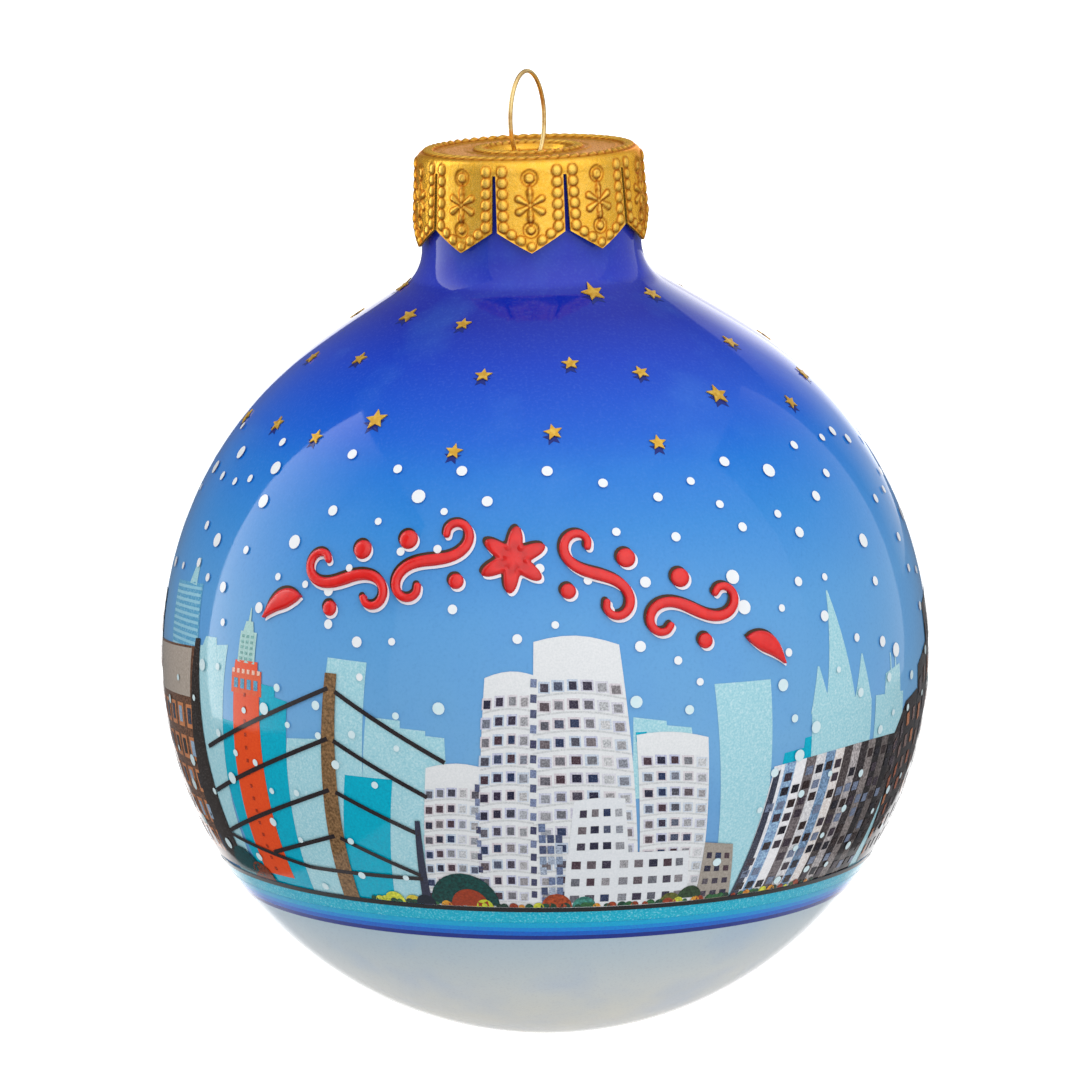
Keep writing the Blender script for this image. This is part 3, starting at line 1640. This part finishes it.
@dataclass
class Garland:
    """The raised red garland across the front, with a dark edge above it and a light edge below."""

    shape: BallShape
    middle: float = -4.5
    crown: float = 23.2
    lean: float = 0.10
    fall: float = 0.0082
    height: float = 0.46 * MM
    foot: float = 0.10 * MM
    curl: float = 4.8

    def charms(self) -> list[Charm]:
        """The garland's pieces from its middle outwards.

        Returns:
            Every piece.
        """
        pieces = [Charm("enamel_flower", Kind.FLOWER, 0.0, 3.5)]
        sides = (("left", -1, Kind.SCROLL, Kind.MIRRORED), ("right", 1, Kind.MIRRORED, Kind.SCROLL))
        for side, way, inner, outer in sides:
            for place, kind, along in (("inner", inner, 12.8), ("outer", outer, 27.0)):
                pieces.append(Charm(f"enamel_scroll_{side}_{place}", kind, along * way, 17.5))
            pieces.append(Charm(f"enamel_leaf_{side}", Kind.LEAF, 38.2 * way, 5.2 * way))
            for end, along, out in (("", 12.8, 2.4 * way), ("end_", 27.0, -2.4 * way)):
                pieces.append(Charm(f"enamel_bud_{side}_{end}upper", Kind.BUD, along * way, 1.0, out, 2.4))
                pieces.append(Charm(f"enamel_bud_{side}_{end}lower", Kind.BUD, along * way, 0.8, -out, -2.4))
        return pieces

    def build(self) -> list[Piece]:
        """Make the raised pieces and the two printed edges behind them.

        Returns:
            The pieces.
        """
        enamel = RaisedEnamel().material()
        made = []
        for charm in self.charms():
            piece = dress(self._raised(charm), enamel)
            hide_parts(charm.node)
            made.append(piece)
        edges = (
            ("garland_dark_edge_ink", (-0.20, 0.24), 0.150, paint(62, 44, 26)),
            ("garland_light_edge_ink", (0.20, -0.26), 0.125, paint(240, 238, 244)),
        )
        raised = list(made)
        for name, (east, north), lift, tint in edges:
            slide = (east * MM, north * MM)
            look = (tint, name, PrintInk(name + "_finish", 0.10))
            made.append(printed_copy(self.shape, raised, slide, lift * MM, 0.03, *look))
        return made

    def _place(self, along: float) -> Place:
        """Azimuth, latitude and turn at this many degrees along the arch.

        Args:
            along: Degrees from the arch's middle.

        Returns:
            The three, in degrees.
        """
        latitude = self.crown - self.lean * along - self.fall * along * along
        slope = -(self.lean + 2 * self.fall * along) / math.cos(math.radians(latitude))
        return (self.middle + along, latitude, math.degrees(math.atan(slope)))

    def _dome(self, share: Array) -> Array:
        """The enamel's height at each share of the way from its middle to its edge."""
        return self.foot + self.height * np.clip(1 - np.abs(share) ** 3.2, 0.0, 1.0) ** 0.5

    def _raised(self, charm: Charm) -> Piece:
        """Make one raised piece.

        Args:
            charm: What it is.

        Returns:
            The object, named for its node without the first word.
        """
        place = self._place(charm.along)
        if charm.kind in (Kind.FLOWER, Kind.BUD):
            across, up, share, faces = self._rosette(charm)
        else:
            line = self._leaf(charm.size) if charm.kind is Kind.LEAF else self._scroll(charm)
            across, up, share, faces = self._stroke(line)
        across, up = (across + charm.across) * MM, (up + charm.up) * MM
        top = self.shape.around(place, across, up, self._dome(share))
        under = self.shape.around(place, across, up, np.full(len(across), self.foot * 0.2))
        skin = Skin()
        skin.add(top, under, faces, edge=np.clip((np.abs(share) - 0.72) / 0.28, 0.0, 1.0))
        return skin.build(charm.node.replace("enamel", "raised"))

    def _scroll(self, charm: Charm) -> Array:
        """An S scroll whose bend tightens evenly towards both ends: across, up and half width.

        Args:
            charm: The scroll.

        Returns:
            One row for each step.
        """
        steps = 14
        pitch = charm.size / 2 / steps
        arms = []
        for way in (-1, 1):
            across, up, arm = 0.0, 0.0, []
            for step in range(1, steps + 1):
                heading = self.curl * ((step - 0.5) / steps) ** 2
                across += way * math.cos(heading) * pitch
                up += way * math.sin(heading) * pitch
                place = -across if charm.kind is Kind.MIRRORED else across
                arm.append((place, up, 0.62 - 0.24 * step / steps))
            arms.append(arm)
        return self._finer(np.array(arms[0][::-1] + [(0.0, 0.0, 0.62)] + arms[1]))

    def _leaf(self, length: float) -> Array:
        """A leaf with a full middle and pointed ends: across, up and half width.

        Args:
            length: Its length in millimetres.

        Returns:
            One row for each step.
        """
        share = np.linspace(0, 1, 17)
        width = 0.10 + 0.95 * np.sin(np.pi * share**0.8)
        return self._finer(np.stack([(share - 0.5) * length, 0.7 * np.sin(np.pi * share), width], axis=1))

    @staticmethod
    def _finer(line: Array) -> Array:
        """The line with each step cut into three on a smooth curve.

        Args:
            line: The line.

        Returns:
            The finer line.
        """
        before = np.vstack([2 * line[0] - line[1], line[:-1]])[:-1]
        first, last = line[:-1], line[1:]
        after = np.vstack([line[2:], 2 * line[-1] - line[-2]])
        fine = []
        for share in (0.0, 1 / 3, 2 / 3):
            square, cube = share**2, share**3
            bend = (
                before * (-share + 2 * square - cube)
                + first * (2 - 5 * square + 3 * cube)
                + last * (share + 4 * square - 3 * cube)
                + after * (cube - square)
            )
            fine.append(bend / 2)
        woven = np.stack(fine, axis=1).reshape(-1, 3)
        return np.vstack([woven, line[-1]])

    @staticmethod
    def _stroke(line: Array) -> tuple[Array, Array, Array, list[Face]]:
        """A stroke with round ends along a line.

        Args:
            line: Across, up and half width at each step.

        Returns:
            Across, up and nearness to the edge of its points, and its faces.
        """
        way = np.gradient(line[:, :2], axis=0)
        way /= np.linalg.norm(way, axis=1, keepdims=True)
        ends = []
        for end, sign in ((0, -1), (-1, 1)):
            rows = []
            for share in (0.5, 0.8, 0.97):
                spot = line[end, :2] + sign * way[end] * line[end, 2] * share
                rows.append((*spot, line[end, 2] * math.sqrt(1 - share**2), share))
            ends.append(rows)
        rows = ends[0][::-1] + [(*row, 0.0) for row in line] + ends[1]
        ways = np.vstack([[way[0]] * 3, way, [way[-1]] * 3])
        shares = np.array((-1.0, -0.93, -0.78, -0.5, 0.0, 0.5, 0.78, 0.93, 1.0))
        across, up, edge = [], [], []
        for (x, y, width, cap), (dx, dy) in zip(rows, ways):
            across.append(x + dy * width * shares)
            up.append(y - dx * width * shares)
            edge.append(np.maximum(np.abs(shares), cap))
        faces = grid_faces(len(rows), len(shares))
        return np.concatenate(across), np.concatenate(up), np.concatenate(edge), faces

    @staticmethod
    def _rosette(charm: Charm) -> tuple[Array, Array, Array, list[Face]]:
        """A flower with six petals, or a round bud.

        Args:
            charm: Which it is.

        Returns:
            Across, up and nearness to the edge of its points, and its faces.
        """
        flower = charm.kind is Kind.FLOWER
        sides = 96 if flower else 28
        angles = np.linspace(0, math.tau, sides, endpoint=False)
        petals = 0.76 + 0.24 * np.cos(6 * angles) if flower else np.ones(sides)
        across, up, edge = [], [], []
        groove = 0.36
        rings = (1.0, 0.95, 0.88, 0.76, 0.58, groove, 0.16)
        for ring in rings:
            reach = charm.size * ring * (1 + (petals - 1) * min(1.0, ring * 1.3))
            across.append(-reach * np.sin(angles))
            up.append(reach * np.cos(angles))
            edge.append(np.full(sides, 0.90 if flower and ring == groove else ring))
        faces = grid_faces(len(rings), sides, closed=True)
        middle = len(rings) * sides
        faces += [(middle - sides + i, middle - sides + (i + 1) % sides, middle) for i in range(sides)]
        across, up, edge = (np.append(np.concatenate(part), 0.0) for part in (across, up, edge))
        return across, up, edge, faces


# The cap.


class Relief:
    """The height and the creases stamped into a sheet, in millimetres."""

    def __init__(self, across: Array, drop: Array) -> None:
        """Start flat over these places: millimetres across a tab and below the cap's top."""
        self.across = across
        self.drop = drop
        self.height = np.zeros_like(across)
        self.crease = np.zeros_like(across)
        self.crown = np.zeros_like(across)

    def _stamp(self, height: Array, gap: Array, crown: Array) -> None:
        """Keep the higher of the old and the new shape, and crease its edge.

        Args:
            height: The new shape's height.
            gap: How far each place is from its edge.
            crown: How near each place is to its top.
        """
        self.height = np.where(np.abs(height) > np.abs(self.height), height, self.height)
        self.crease = np.maximum(self.crease, np.exp(-((gap / 0.10) ** 2)))
        self.crown = np.maximum(self.crown, crown)

    def bead(self, across: float, drop: float, radius: float, height: float, tall: float = 1.0) -> None:
        """Stamp a round bead, or an oval one that is tall.

        Args:
            across: Its place across the tab.
            drop: How far down it lies.
            radius: Its radius.
            height: How far it stands up.
            tall: Its height down the tab over its width.
        """
        away = np.hypot(self.across - across, (self.drop - drop) / tall)
        dome = np.sqrt(np.clip(1 - (away / radius) ** 2, 0.0, 1.0))
        self._stamp(height * dome, away - radius, dome**3)

    def boss(self, across: float, drop: float, outer: float, inner: float) -> None:
        """Stamp a button in a sunk ring.

        Args:
            across: Its place across the tab.
            drop: How far down it lies.
            outer: The ring's outer radius.
            inner: The button's radius.
        """
        away = np.hypot(self.across - across, self.drop - drop)
        ring = smooth_share((outer - away) / 0.14) * smooth_share((away - inner) / 0.12)
        button = smooth_share((inner - away) / 0.16) * (1 - 0.4 * np.exp(-((away / 0.16) ** 2)))
        gap = np.minimum(np.abs(away - outer), np.abs(away - inner))
        self._stamp(0.15 * button - 0.13 * ring, gap, button * 0.8)

    def bar(self, start: Spot, end: Spot, half: float, height: float, pinch: float = 1.0) -> None:
        """Stamp a raised bar with round ends.

        Args:
            start: Where it starts: across and drop.
            end: Where it ends.
            half: Half its width.
            height: How far it stands up.
            pinch: How wide its start is, as a share of its end.
        """
        way = np.subtract(end, start)
        share = ((self.across - start[0]) * way[0] + (self.drop - start[1]) * way[1]) / (way @ way)
        share = np.clip(share, 0.0, 1.0)
        away = np.hypot(self.across - start[0] - share * way[0], self.drop - start[1] - share * way[1])
        edge = half * (pinch + (1 - pinch) * share)
        raised = np.sqrt(np.clip((edge - away) / edge, 0.0, 1.0))
        self._stamp(height * raised, away - edge, raised**3 * 0.7)


@dataclass
class CrownCap:
    """The stamped cap: a dished top with two rope rings, and ten pointed tabs."""

    top: float
    tabs: int = 10
    skirt: float = 11.70
    flare: float = 0.52
    height: float = 9.60
    point: float = 2.10
    slit_top: float = 1.70
    slit: Spot = (0.36, 0.56)
    hole: float = 3.27
    dish: float = 0.75
    flat: float = 0.15
    inner_rope: float = 5.15
    outer_rope: float = 10.42
    rope_height: float = 0.34
    ridges: Spot = (9.0, 6.35)
    sheet: float = 0.22
    columns: int = 46
    rows: int = 58

    def build(self) -> list[Piece]:
        """Make the cap.

        Returns:
            The cap's piece.
        """
        angles = self._ring_angles()
        profile = self._crown_profile()
        crown, tabs = self._crown(profile, angles), self._tabs()
        rings = (len(profile), len(angles))
        skin = Skin()
        skin.add(
            faces=grid_faces(*rings, closed=True) + self._tab_faces(*rings),
            **{name: np.concatenate([crown[name], tabs[name]]) for name in tabs},
        )
        cap = dress(skin.build("crown_cap_stamping", sharp=55.0), StampedGold().material())
        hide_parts("crown_cap")
        return [cap]

    def _half_angle(self, drop: Array) -> Array:
        """Half the angle that a tab takes up at this drop, in radians.

        Args:
            drop: Millimetres below the cap's top.

        Returns:
            The angle.
        """
        share = np.clip((drop - self.slit_top) / (self.height - self.point - self.slit_top), 0.0, 1.0)
        slit = self.slit[0] + (self.slit[1] - self.slit[0]) * share
        return math.pi / self.tabs - slit / 2 / self._radius(drop)

    def _radius(self, drop: Array) -> Array:
        """The skirt's radius at this drop."""
        share = np.clip((drop - self.slit_top) / (self.height - self.slit_top), 0.0, 1.0)
        return self.skirt + self.flare * share

    def _ring_angles(self) -> Array:
        """The angles of the columns of points, tab by tab.

        Returns:
            The angles in radians.
        """
        half = float(self._half_angle(np.array(self.slit_top)))
        spread = np.linspace(-1, 1, self.columns + 1) * half
        return np.concatenate([math.tau * tab / self.tabs + spread for tab in range(self.tabs)])

    def _crown_profile(self) -> Array:
        """The top's profile from the top of the slits inwards to the hole: radius and drop.

        Returns:
            One row for each ring.
        """
        turns = np.linspace(math.pi / 2, 0, 12)
        rope_edge = self.outer_rope + 0.56
        shoulder = [
            (rope_edge + (self.skirt - rope_edge) * math.sin(turn), 0.16 + 1.24 * (1 - math.cos(turn)))
            for turn in turns
        ]
        skirt = [(self.skirt, drop) for drop in np.linspace(self.slit_top, 1.5, 3)]
        flat = [(radius, self.flat) for radius in np.linspace(rope_edge - 0.04, self.inner_rope - 0.5, 62)]
        dish_edge = self.inner_rope - 0.62
        bowl = [
            (dish_edge - 0.5 * share, self.flat + (self.dish - self.flat) * float(smooth_share(share)))
            for share in np.linspace(0.1, 1, 7)
        ]
        lip = [(radius, self.dish) for radius in np.linspace(dish_edge - 0.6, self.hole + 0.12, 5)]
        return np.array([*skirt, *shoulder, *flat, *bowl, *lip, (self.hole, self.dish + 0.12)])

    def _rope(self, radius: Array, angle: Array, middle: float, strands: int) -> tuple[Array, Array]:
        """A twisted rope pressed round the top.

        Args:
            radius: The places' radii.
            angle: Their angles.
            middle: The rope's own radius.
            strands: How many strands lie round it.

        Returns:
            Its height and its creases.
        """
        share = (radius - middle) / 0.60
        body = np.sqrt(np.clip(1 - share**2, 0.0, 1.0))
        phase = angle * strands / 2 + share * 1.3
        twist = np.abs(np.sin(phase)) ** 0.7
        inside = (np.abs(share) < 1.0).astype(float)
        foot = np.exp(-(((np.abs(share) - 1) / 0.2) ** 2)) * 0.85
        crease = inside * np.clip(1.15 - twist * 1.9, 0.0, 1.0) + foot
        return self.rope_height * body * (0.2 + 0.8 * twist), np.clip(crease, 0.0, 1.0)

    def _crown(self, profile: Array, angles: Array) -> dict[str, Array]:
        """The dished top and the shoulder, with ropes, ridges and the first beads.

        Args:
            profile: Radius and drop of each ring.
            angles: The angles of the columns.

        Returns:
            The two surfaces and their marks.
        """
        radius = np.repeat(profile[:, :1], len(angles), axis=1)
        drop = np.repeat(profile[:, 1:], len(angles), axis=1)
        angle = np.repeat(angles[None, :], len(profile), axis=0)
        lift = np.zeros_like(radius)
        crease = np.zeros_like(radius)
        on_top = drop < 0.5
        for middle, strands in ((self.outer_rope, 60), (self.inner_rope, 34)):
            raised, edge = self._rope(radius, angle, middle, strands)
            lift += raised * on_top
            crease = np.maximum(crease, edge * on_top)
        for middle in self.ridges:
            ridge = np.exp(-(((radius - middle) / 0.16) ** 2)) * on_top
            beads = 0.6 + 0.4 * np.abs(np.sin(angle * middle * 3.2))
            lift += 0.09 * ridge * beads
            beside = np.exp(-(((np.abs(radius - middle) - 0.24) / 0.08) ** 2))
            crease = np.maximum(crease, 0.4 * beside * on_top)
        crease = np.maximum(crease, on_top * (0.14 + 0.10 * np.sin(radius * 19.0)))
        folded = (angle + math.pi / self.tabs) % (math.tau / self.tabs) - math.pi / self.tabs
        relief = Relief(folded * self.skirt, drop)
        self._stamp_tab(relief)
        lower = smooth_share((drop - 0.45) / 0.35)
        outward = relief.height * lower
        crease = np.maximum(crease, relief.crease * lower)
        outer = self._spots(radius + outward, angle, drop - lift)
        normal_in = smooth_share((drop - 0.2) / 0.8)
        inner = self._spots(radius - self.sheet * normal_in, angle, drop + self.sheet * (1 - normal_in))
        crown = np.clip(lift / self.rope_height, 0, 1) ** 2 + relief.crown * lower
        return {"outer": outer, "inner": inner, "crease": crease.ravel(), "crown": crown.ravel()}

    def _spots(self, radius: Array, angle: Array, drop: Array) -> Array:
        """Points at these millimetres from the axis and below the cap's top."""
        points = np.stack([radius * np.sin(angle), -radius * np.cos(angle), -drop], axis=-1) * MM
        return (points + np.array((0.0, 0.0, self.top))).reshape(-1, 3)

    def _stamp_tab(self, relief: Relief) -> None:
        """Stamp one tab's pattern: bead borders, and a blossom between two bosses.

        Args:
            relief: The sheet that is stamped.
        """
        pitch = 1.13
        for step in range(6):
            for side in (-1, 1):
                relief.bead(2.84 * side, 1.28 + pitch * step, 0.53, 0.25, 1.2 if step == 0 else 1.1)
        for across, drop in ((2.02, 7.66), (1.10, 8.30)):
            for side in (-1, 1):
                relief.bead(across * side, drop, 0.51, 0.23)
        relief.bead(0.0, 8.94, 0.46, 0.21)
        relief.boss(0.0, 1.95, 0.86, 0.50)
        relief.boss(0.0, 7.25, 0.82, 0.42)
        relief.bar((0.0, 2.85), (0.0, 3.5), 0.20, 0.12)
        relief.bar((0.0, 6.0), (0.0, 6.5), 0.20, 0.12)
        blossom = 4.72
        for turn in range(6):
            way = (math.sin(math.tau * turn / 6), math.cos(math.tau * turn / 6))
            start, end = ((reach * way[0], blossom + reach * way[1]) for reach in (0.40, 1.36))
            relief.bar(start, end, 0.37, 0.25, 0.5)
        relief.bead(0.0, blossom, 0.22, 0.14)

    def _tabs(self) -> dict[str, Array]:
        """The ten tabs below the slits' tops.

        Returns:
            The two surfaces and their marks.
        """
        across = np.linspace(-1, 1, self.columns + 1)[None, :]
        down = np.linspace(0, 1, self.rows + 1)[1:, None]
        bottom = self.height - self.point * np.abs(across) ** 1.04
        drop = self.slit_top + down * (bottom - self.slit_top)
        turn = across * self._half_angle(drop)
        radius = self._radius(drop)
        relief = Relief(turn * radius, drop)
        self._stamp_tab(relief)
        border = np.minimum(radius * (self._half_angle(drop) - np.abs(turn)), (bottom - drop) * 0.8)
        rim = np.exp(-((border / 0.14) ** 2))
        lift = np.where(border < 0.3, relief.height * smooth_share(border / 0.3), relief.height) + 0.07 * rim
        inside = np.exp(-(((border - 0.26) / 0.06) ** 2)) * 0.55
        crease = np.maximum(relief.crease * smooth_share(border / 0.12), inside)
        surfaces: dict[str, list[Array]] = {"outer": [], "inner": [], "crease": [], "crown": []}
        for tab in range(self.tabs):
            angle = turn + math.tau * tab / self.tabs
            sway = 0.10 * math.sin(tab * 2.3) * (drop - self.slit_top) / self.height
            surfaces["outer"].append(self._spots(radius + lift + sway, angle, drop))
            surfaces["inner"].append(self._spots(radius - self.sheet + sway, angle, drop))
            surfaces["crease"].append(crease.ravel())
            surfaces["crown"].append((relief.crown * 0.8).ravel())
        return {name: np.concatenate(parts) for name, parts in surfaces.items()}

    def _tab_faces(self, rings: int, around: int) -> list[Face]:
        """The tabs' faces, hung on the crown's lowest ring.

        Args:
            rings: How many rings the crown has.
            around: How many points each has.

        Returns:
            The faces.
        """
        faces = []
        wide = self.columns + 1
        start = rings * around
        for tab in range(self.tabs):
            first = start + tab * self.rows * wide
            for row in range(self.rows):
                for column in range(self.columns):
                    low = first + row * wide + column
                    high = tab * wide + column if row == 0 else low - wide
                    faces.append((low, low + 1, high + 1, high))
        return faces


# The hanger.


@dataclass
class Hanger:
    """The bent wire: an oval loop, a crossing waist and two spread legs inside the neck."""

    wire: float = 0.235
    half_width: float = 3.5
    half_height: float = 5.0
    turn: float = 60.0
    waist: float = -8.35
    sides: int = 20
    leg: tuple[Spot, ...] = ((2.25, -9.35), (2.49, -10.55), (9.315, -17.8), (9.315, -19.8), (8.66, -21.0))

    def build(self) -> list[Piece]:
        """Make the wire.

        Returns:
            The wire's piece.
        """
        path = self._path()
        way = np.gradient(path, axis=0)
        way /= np.linalg.norm(way, axis=1, keepdims=True)
        turned = math.radians(self.turn)
        sideways = np.array((-math.sin(turned), math.cos(turned), 0.0))
        points, rings = [], len(path)
        for spot, along in zip(path, way):
            up = np.cross(along, sideways)
            for angle in np.linspace(0, math.tau, self.sides, endpoint=False):
                points.append((spot + (sideways * math.cos(angle) + up * math.sin(angle)) * self.wire) * MM)
        faces = [(a, d, c, b) for a, b, c, d in grid_faces(rings, self.sides, closed=True)]
        faces.append(tuple(range(self.sides)))
        faces.append(tuple(reversed(range((rings - 1) * self.sides, rings * self.sides))))
        wire = stand("hanger_wire", points, faces, smooth=True)
        wire.data.set_sharp_from_angle(angle=math.radians(50))
        dress(wire, BrassWire().material())
        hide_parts("wire_hanger")
        return [wire]

    def _path(self) -> Array:
        """The wire's middle line from one leg's end to the other's, in millimetres.

        Returns:
            One row for each point.
        """
        middle = self.wire - self.half_height
        low = math.asin((self.waist - middle) / self.half_height)
        oval = [
            (self.half_width * math.cos(angle), middle + self.half_height * math.sin(angle))
            for angle in np.linspace(low, math.pi - low, 61)
        ]
        rounded = self._rounded([oval[0], *self.leg])
        line = rounded[::-1] + oval[1:-1] + [(-x, z) for x, z in rounded]
        turned = math.radians(self.turn)
        return np.array([(x * math.cos(turned), x * math.sin(turned), z) for x, z in line])

    @staticmethod
    def _rounded(corners: Sequence[Spot], radius: float = 0.5) -> list[Spot]:
        """The open line through these corners with each inner corner rounded.

        Args:
            corners: The corners.
            radius: How far from a corner the bend starts.

        Returns:
            The rounded line.
        """
        line = [tuple(corners[0])]
        for before, corner, after in zip(corners, corners[1:], corners[2:]):
            before, corner, after = np.array(before), np.array(corner), np.array(after)
            back, on = before - corner, after - corner
            start = corner + back / np.linalg.norm(back) * min(radius, np.linalg.norm(back) / 2.5)
            end = corner + on / np.linalg.norm(on) * min(radius, np.linalg.norm(on) / 2.5)
            for share in np.linspace(0, 1, 7):
                bend = 2 * corner * share * (1 - share)
                line.append(tuple(start * (1 - share) ** 2 + bend + end * share**2))
        return line + [tuple(corners[-1])]


# The studio.


@dataclass
class Studio:
    """The white paper, the soft lights and the camera."""

    centre: Vector
    distance: float = 0.80
    elevation: float = 10.12
    roll: float = 1.93
    lens: float = 255.2
    aim_up: float = 11.5 * MM
    aim_right: float = -0.55 * MM
    floor_drop: float = 0.20
    key: Place = (0.30, -0.68, 0.67)
    air_levels: tuple[Spot, ...] = ((0.0, 0.14), (0.5, 0.28), (0.75, 0.88), (1.0, 1.55))

    def build(self) -> None:
        """Set up the paper, the lights and the camera."""
        self._paper()
        self._softbox("left_softbox", (-0.95, -0.19, 0.50), (1.43, 1.50), (1.0, 0.0, 0.0), 3.40, 0.10)
        self._softbox("right_softbox", (0.95, 0.42, 0.40), (1.00, 1.30), (-1.0, 0.0, 0.0), 0.95, 0.55)
        self._softbox("rim_softbox", (0.56, 1.20, 0.34), (0.72, 0.80), (-0.42, -0.85, -0.22), 2.6, 0.3)
        self._air()
        bpy.context.scene.view_settings.view_transform = "Standard"
        self._camera()

    def _air(self) -> None:
        """Light the room from the front and above, and leave its back dim."""
        world = bpy.data.worlds.new("studio_air")
        world.use_nodes = True
        air = Nodes(world.node_tree)
        way = air.node("ShaderNodeTexCoord").result("Generated")
        key = Vector(self.key).normalized()
        facing = air.node("ShaderNodeVectorMath", {"operation": "DOT_PRODUCT"}, {0: way, 1: tuple(key)})
        share = facing.result("Value") * 0.5 + 0.5
        stops = [(place, (level, level, level * 1.02, 1.0)) for place, level in self.air_levels]
        glow = air.node("ShaderNodeBackground", {}, {"Color": air.ramp(share, stops)})
        air.node("ShaderNodeOutputWorld", {}, {"Surface": glow.result(0)})
        bpy.context.scene.world = world

    def _paper(self) -> None:
        """Lay the paper as a floor that sweeps up into a wall."""
        floor = self.centre.z - self.floor_drop
        wide, near, far, bend, high = 0.22, -0.30, 1.1, 0.25, 0.42
        profile = [(near, floor), (far - bend, floor)]
        for turn in np.linspace(0, math.pi / 2, 17)[1:]:
            profile.append((far - bend + bend * math.sin(turn), floor + bend * (1 - math.cos(turn))))
        profile.append((far, floor + high))
        points = [(x, y, z) for y, z in profile for x in (-wide, wide)]
        faces = [(2 * i, 2 * i + 1, 2 * i + 3, 2 * i + 2) for i in range(len(profile) - 1)]
        paper = stand("studio_paper", points, faces, smooth=True)
        dress(paper, StudioPaper(0.10, 0.80).material())

    def _softbox(
        self,
        name: str,
        place: Place,
        size: Spot,
        facing: Place,
        bright: float,
        dim: float,
    ) -> None:
        """Hang one softbox.

        Args:
            name: Its name.
            place: Its middle, from the ball's centre.
            size: Its width and height in metres.
            facing: The way its cloth faces.
            bright: The light of its end that is further from the camera.
            dim: The light of its other end.
        """
        wide, high = size[0] / 2, size[1] / 2
        corners = [(-wide, -high, 0), (wide, -high, 0), (wide, high, 0), (-wide, high, 0)]
        cloth = stand(name, corners, [(0, 1, 2, 3)])
        layer = cloth.data.uv_layers.new(name="across")
        for loop, across in zip(layer.data, ((0, 0), (1, 0), (1, 1), (0, 1))):
            loop.uv = across
        front = Vector(facing).normalized()
        right = Vector((0.0, 0.0, 1.0)).cross(front).normalized()
        if right.y < 0:
            right = -right
        up = front.cross(right)
        turned = Matrix((right, up, front)).transposed().to_4x4()
        cloth.matrix_world = Matrix.Translation(self.centre + Vector(place)) @ turned
        dress(cloth, SoftboxCloth(name + "_cloth", bright, dim).material())

    def _camera(self) -> None:
        """Place the camera a little above the ball, turned so that the ball leans as it hangs."""
        rise, roll = math.radians(self.elevation), math.radians(self.roll)
        back = Vector((0.0, -math.cos(rise), math.sin(rise)))
        level = Vector((1.0, 0.0, 0.0))
        steep = Vector((0.0, math.sin(rise), math.cos(rise)))
        right = level * math.cos(roll) - steep * math.sin(roll)
        up = level * math.sin(roll) + steep * math.cos(roll)
        spot = self.centre + back * self.distance
        target = self.centre + up * self.aim_up + right * self.aim_right
        forward = (target - spot).normalized()
        right = forward.cross(up).normalized()
        up = right.cross(forward)
        data = bpy.data.cameras.new("studio_camera")
        data.lens = self.lens
        data.sensor_width = 36.0
        data.clip_start = 0.01
        data.clip_end = 20.0
        camera = bpy.data.objects.new("studio_camera", data)
        camera.matrix_world = Matrix.Translation(spot) @ Matrix((right, up, -forward)).transposed().to_4x4()
        bpy.context.scene.collection.objects.link(camera)
        bpy.context.scene.camera = camera


def main() -> None:
    """Build the bauble sub-assembly by sub-assembly and report each piece."""
    logging.basicConfig(level=logging.INFO, format="%(message)s")
    wrap_low, wrap_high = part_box("printed_wrap")
    shape = BallShape(Vector((0.0, 0.0, wrap_low.z + BallShape.radius)), wrap_high.z)
    stars = sorted(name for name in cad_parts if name.startswith("foil_star"))
    cap_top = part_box("crown_cap")[1].z
    makers: list[tuple[str, Callable[[], list[Piece]]]] = [
        ("ball", Ball(shape).build),
        ("ball", Picture(shape, shape.spots(stars)).build),
        ("ball", FoilStars(shape, stars).build),
        ("ball", Garland(shape).build),
        ("cap", CrownCap(cap_top).build),
        ("hanger", Hanger().build),
    ]
    for body, make in makers:
        for piece in make():
            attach(piece, body)
            report(piece)
    Studio(shape.centre).build()


if __name__ == "__main__":
    main()
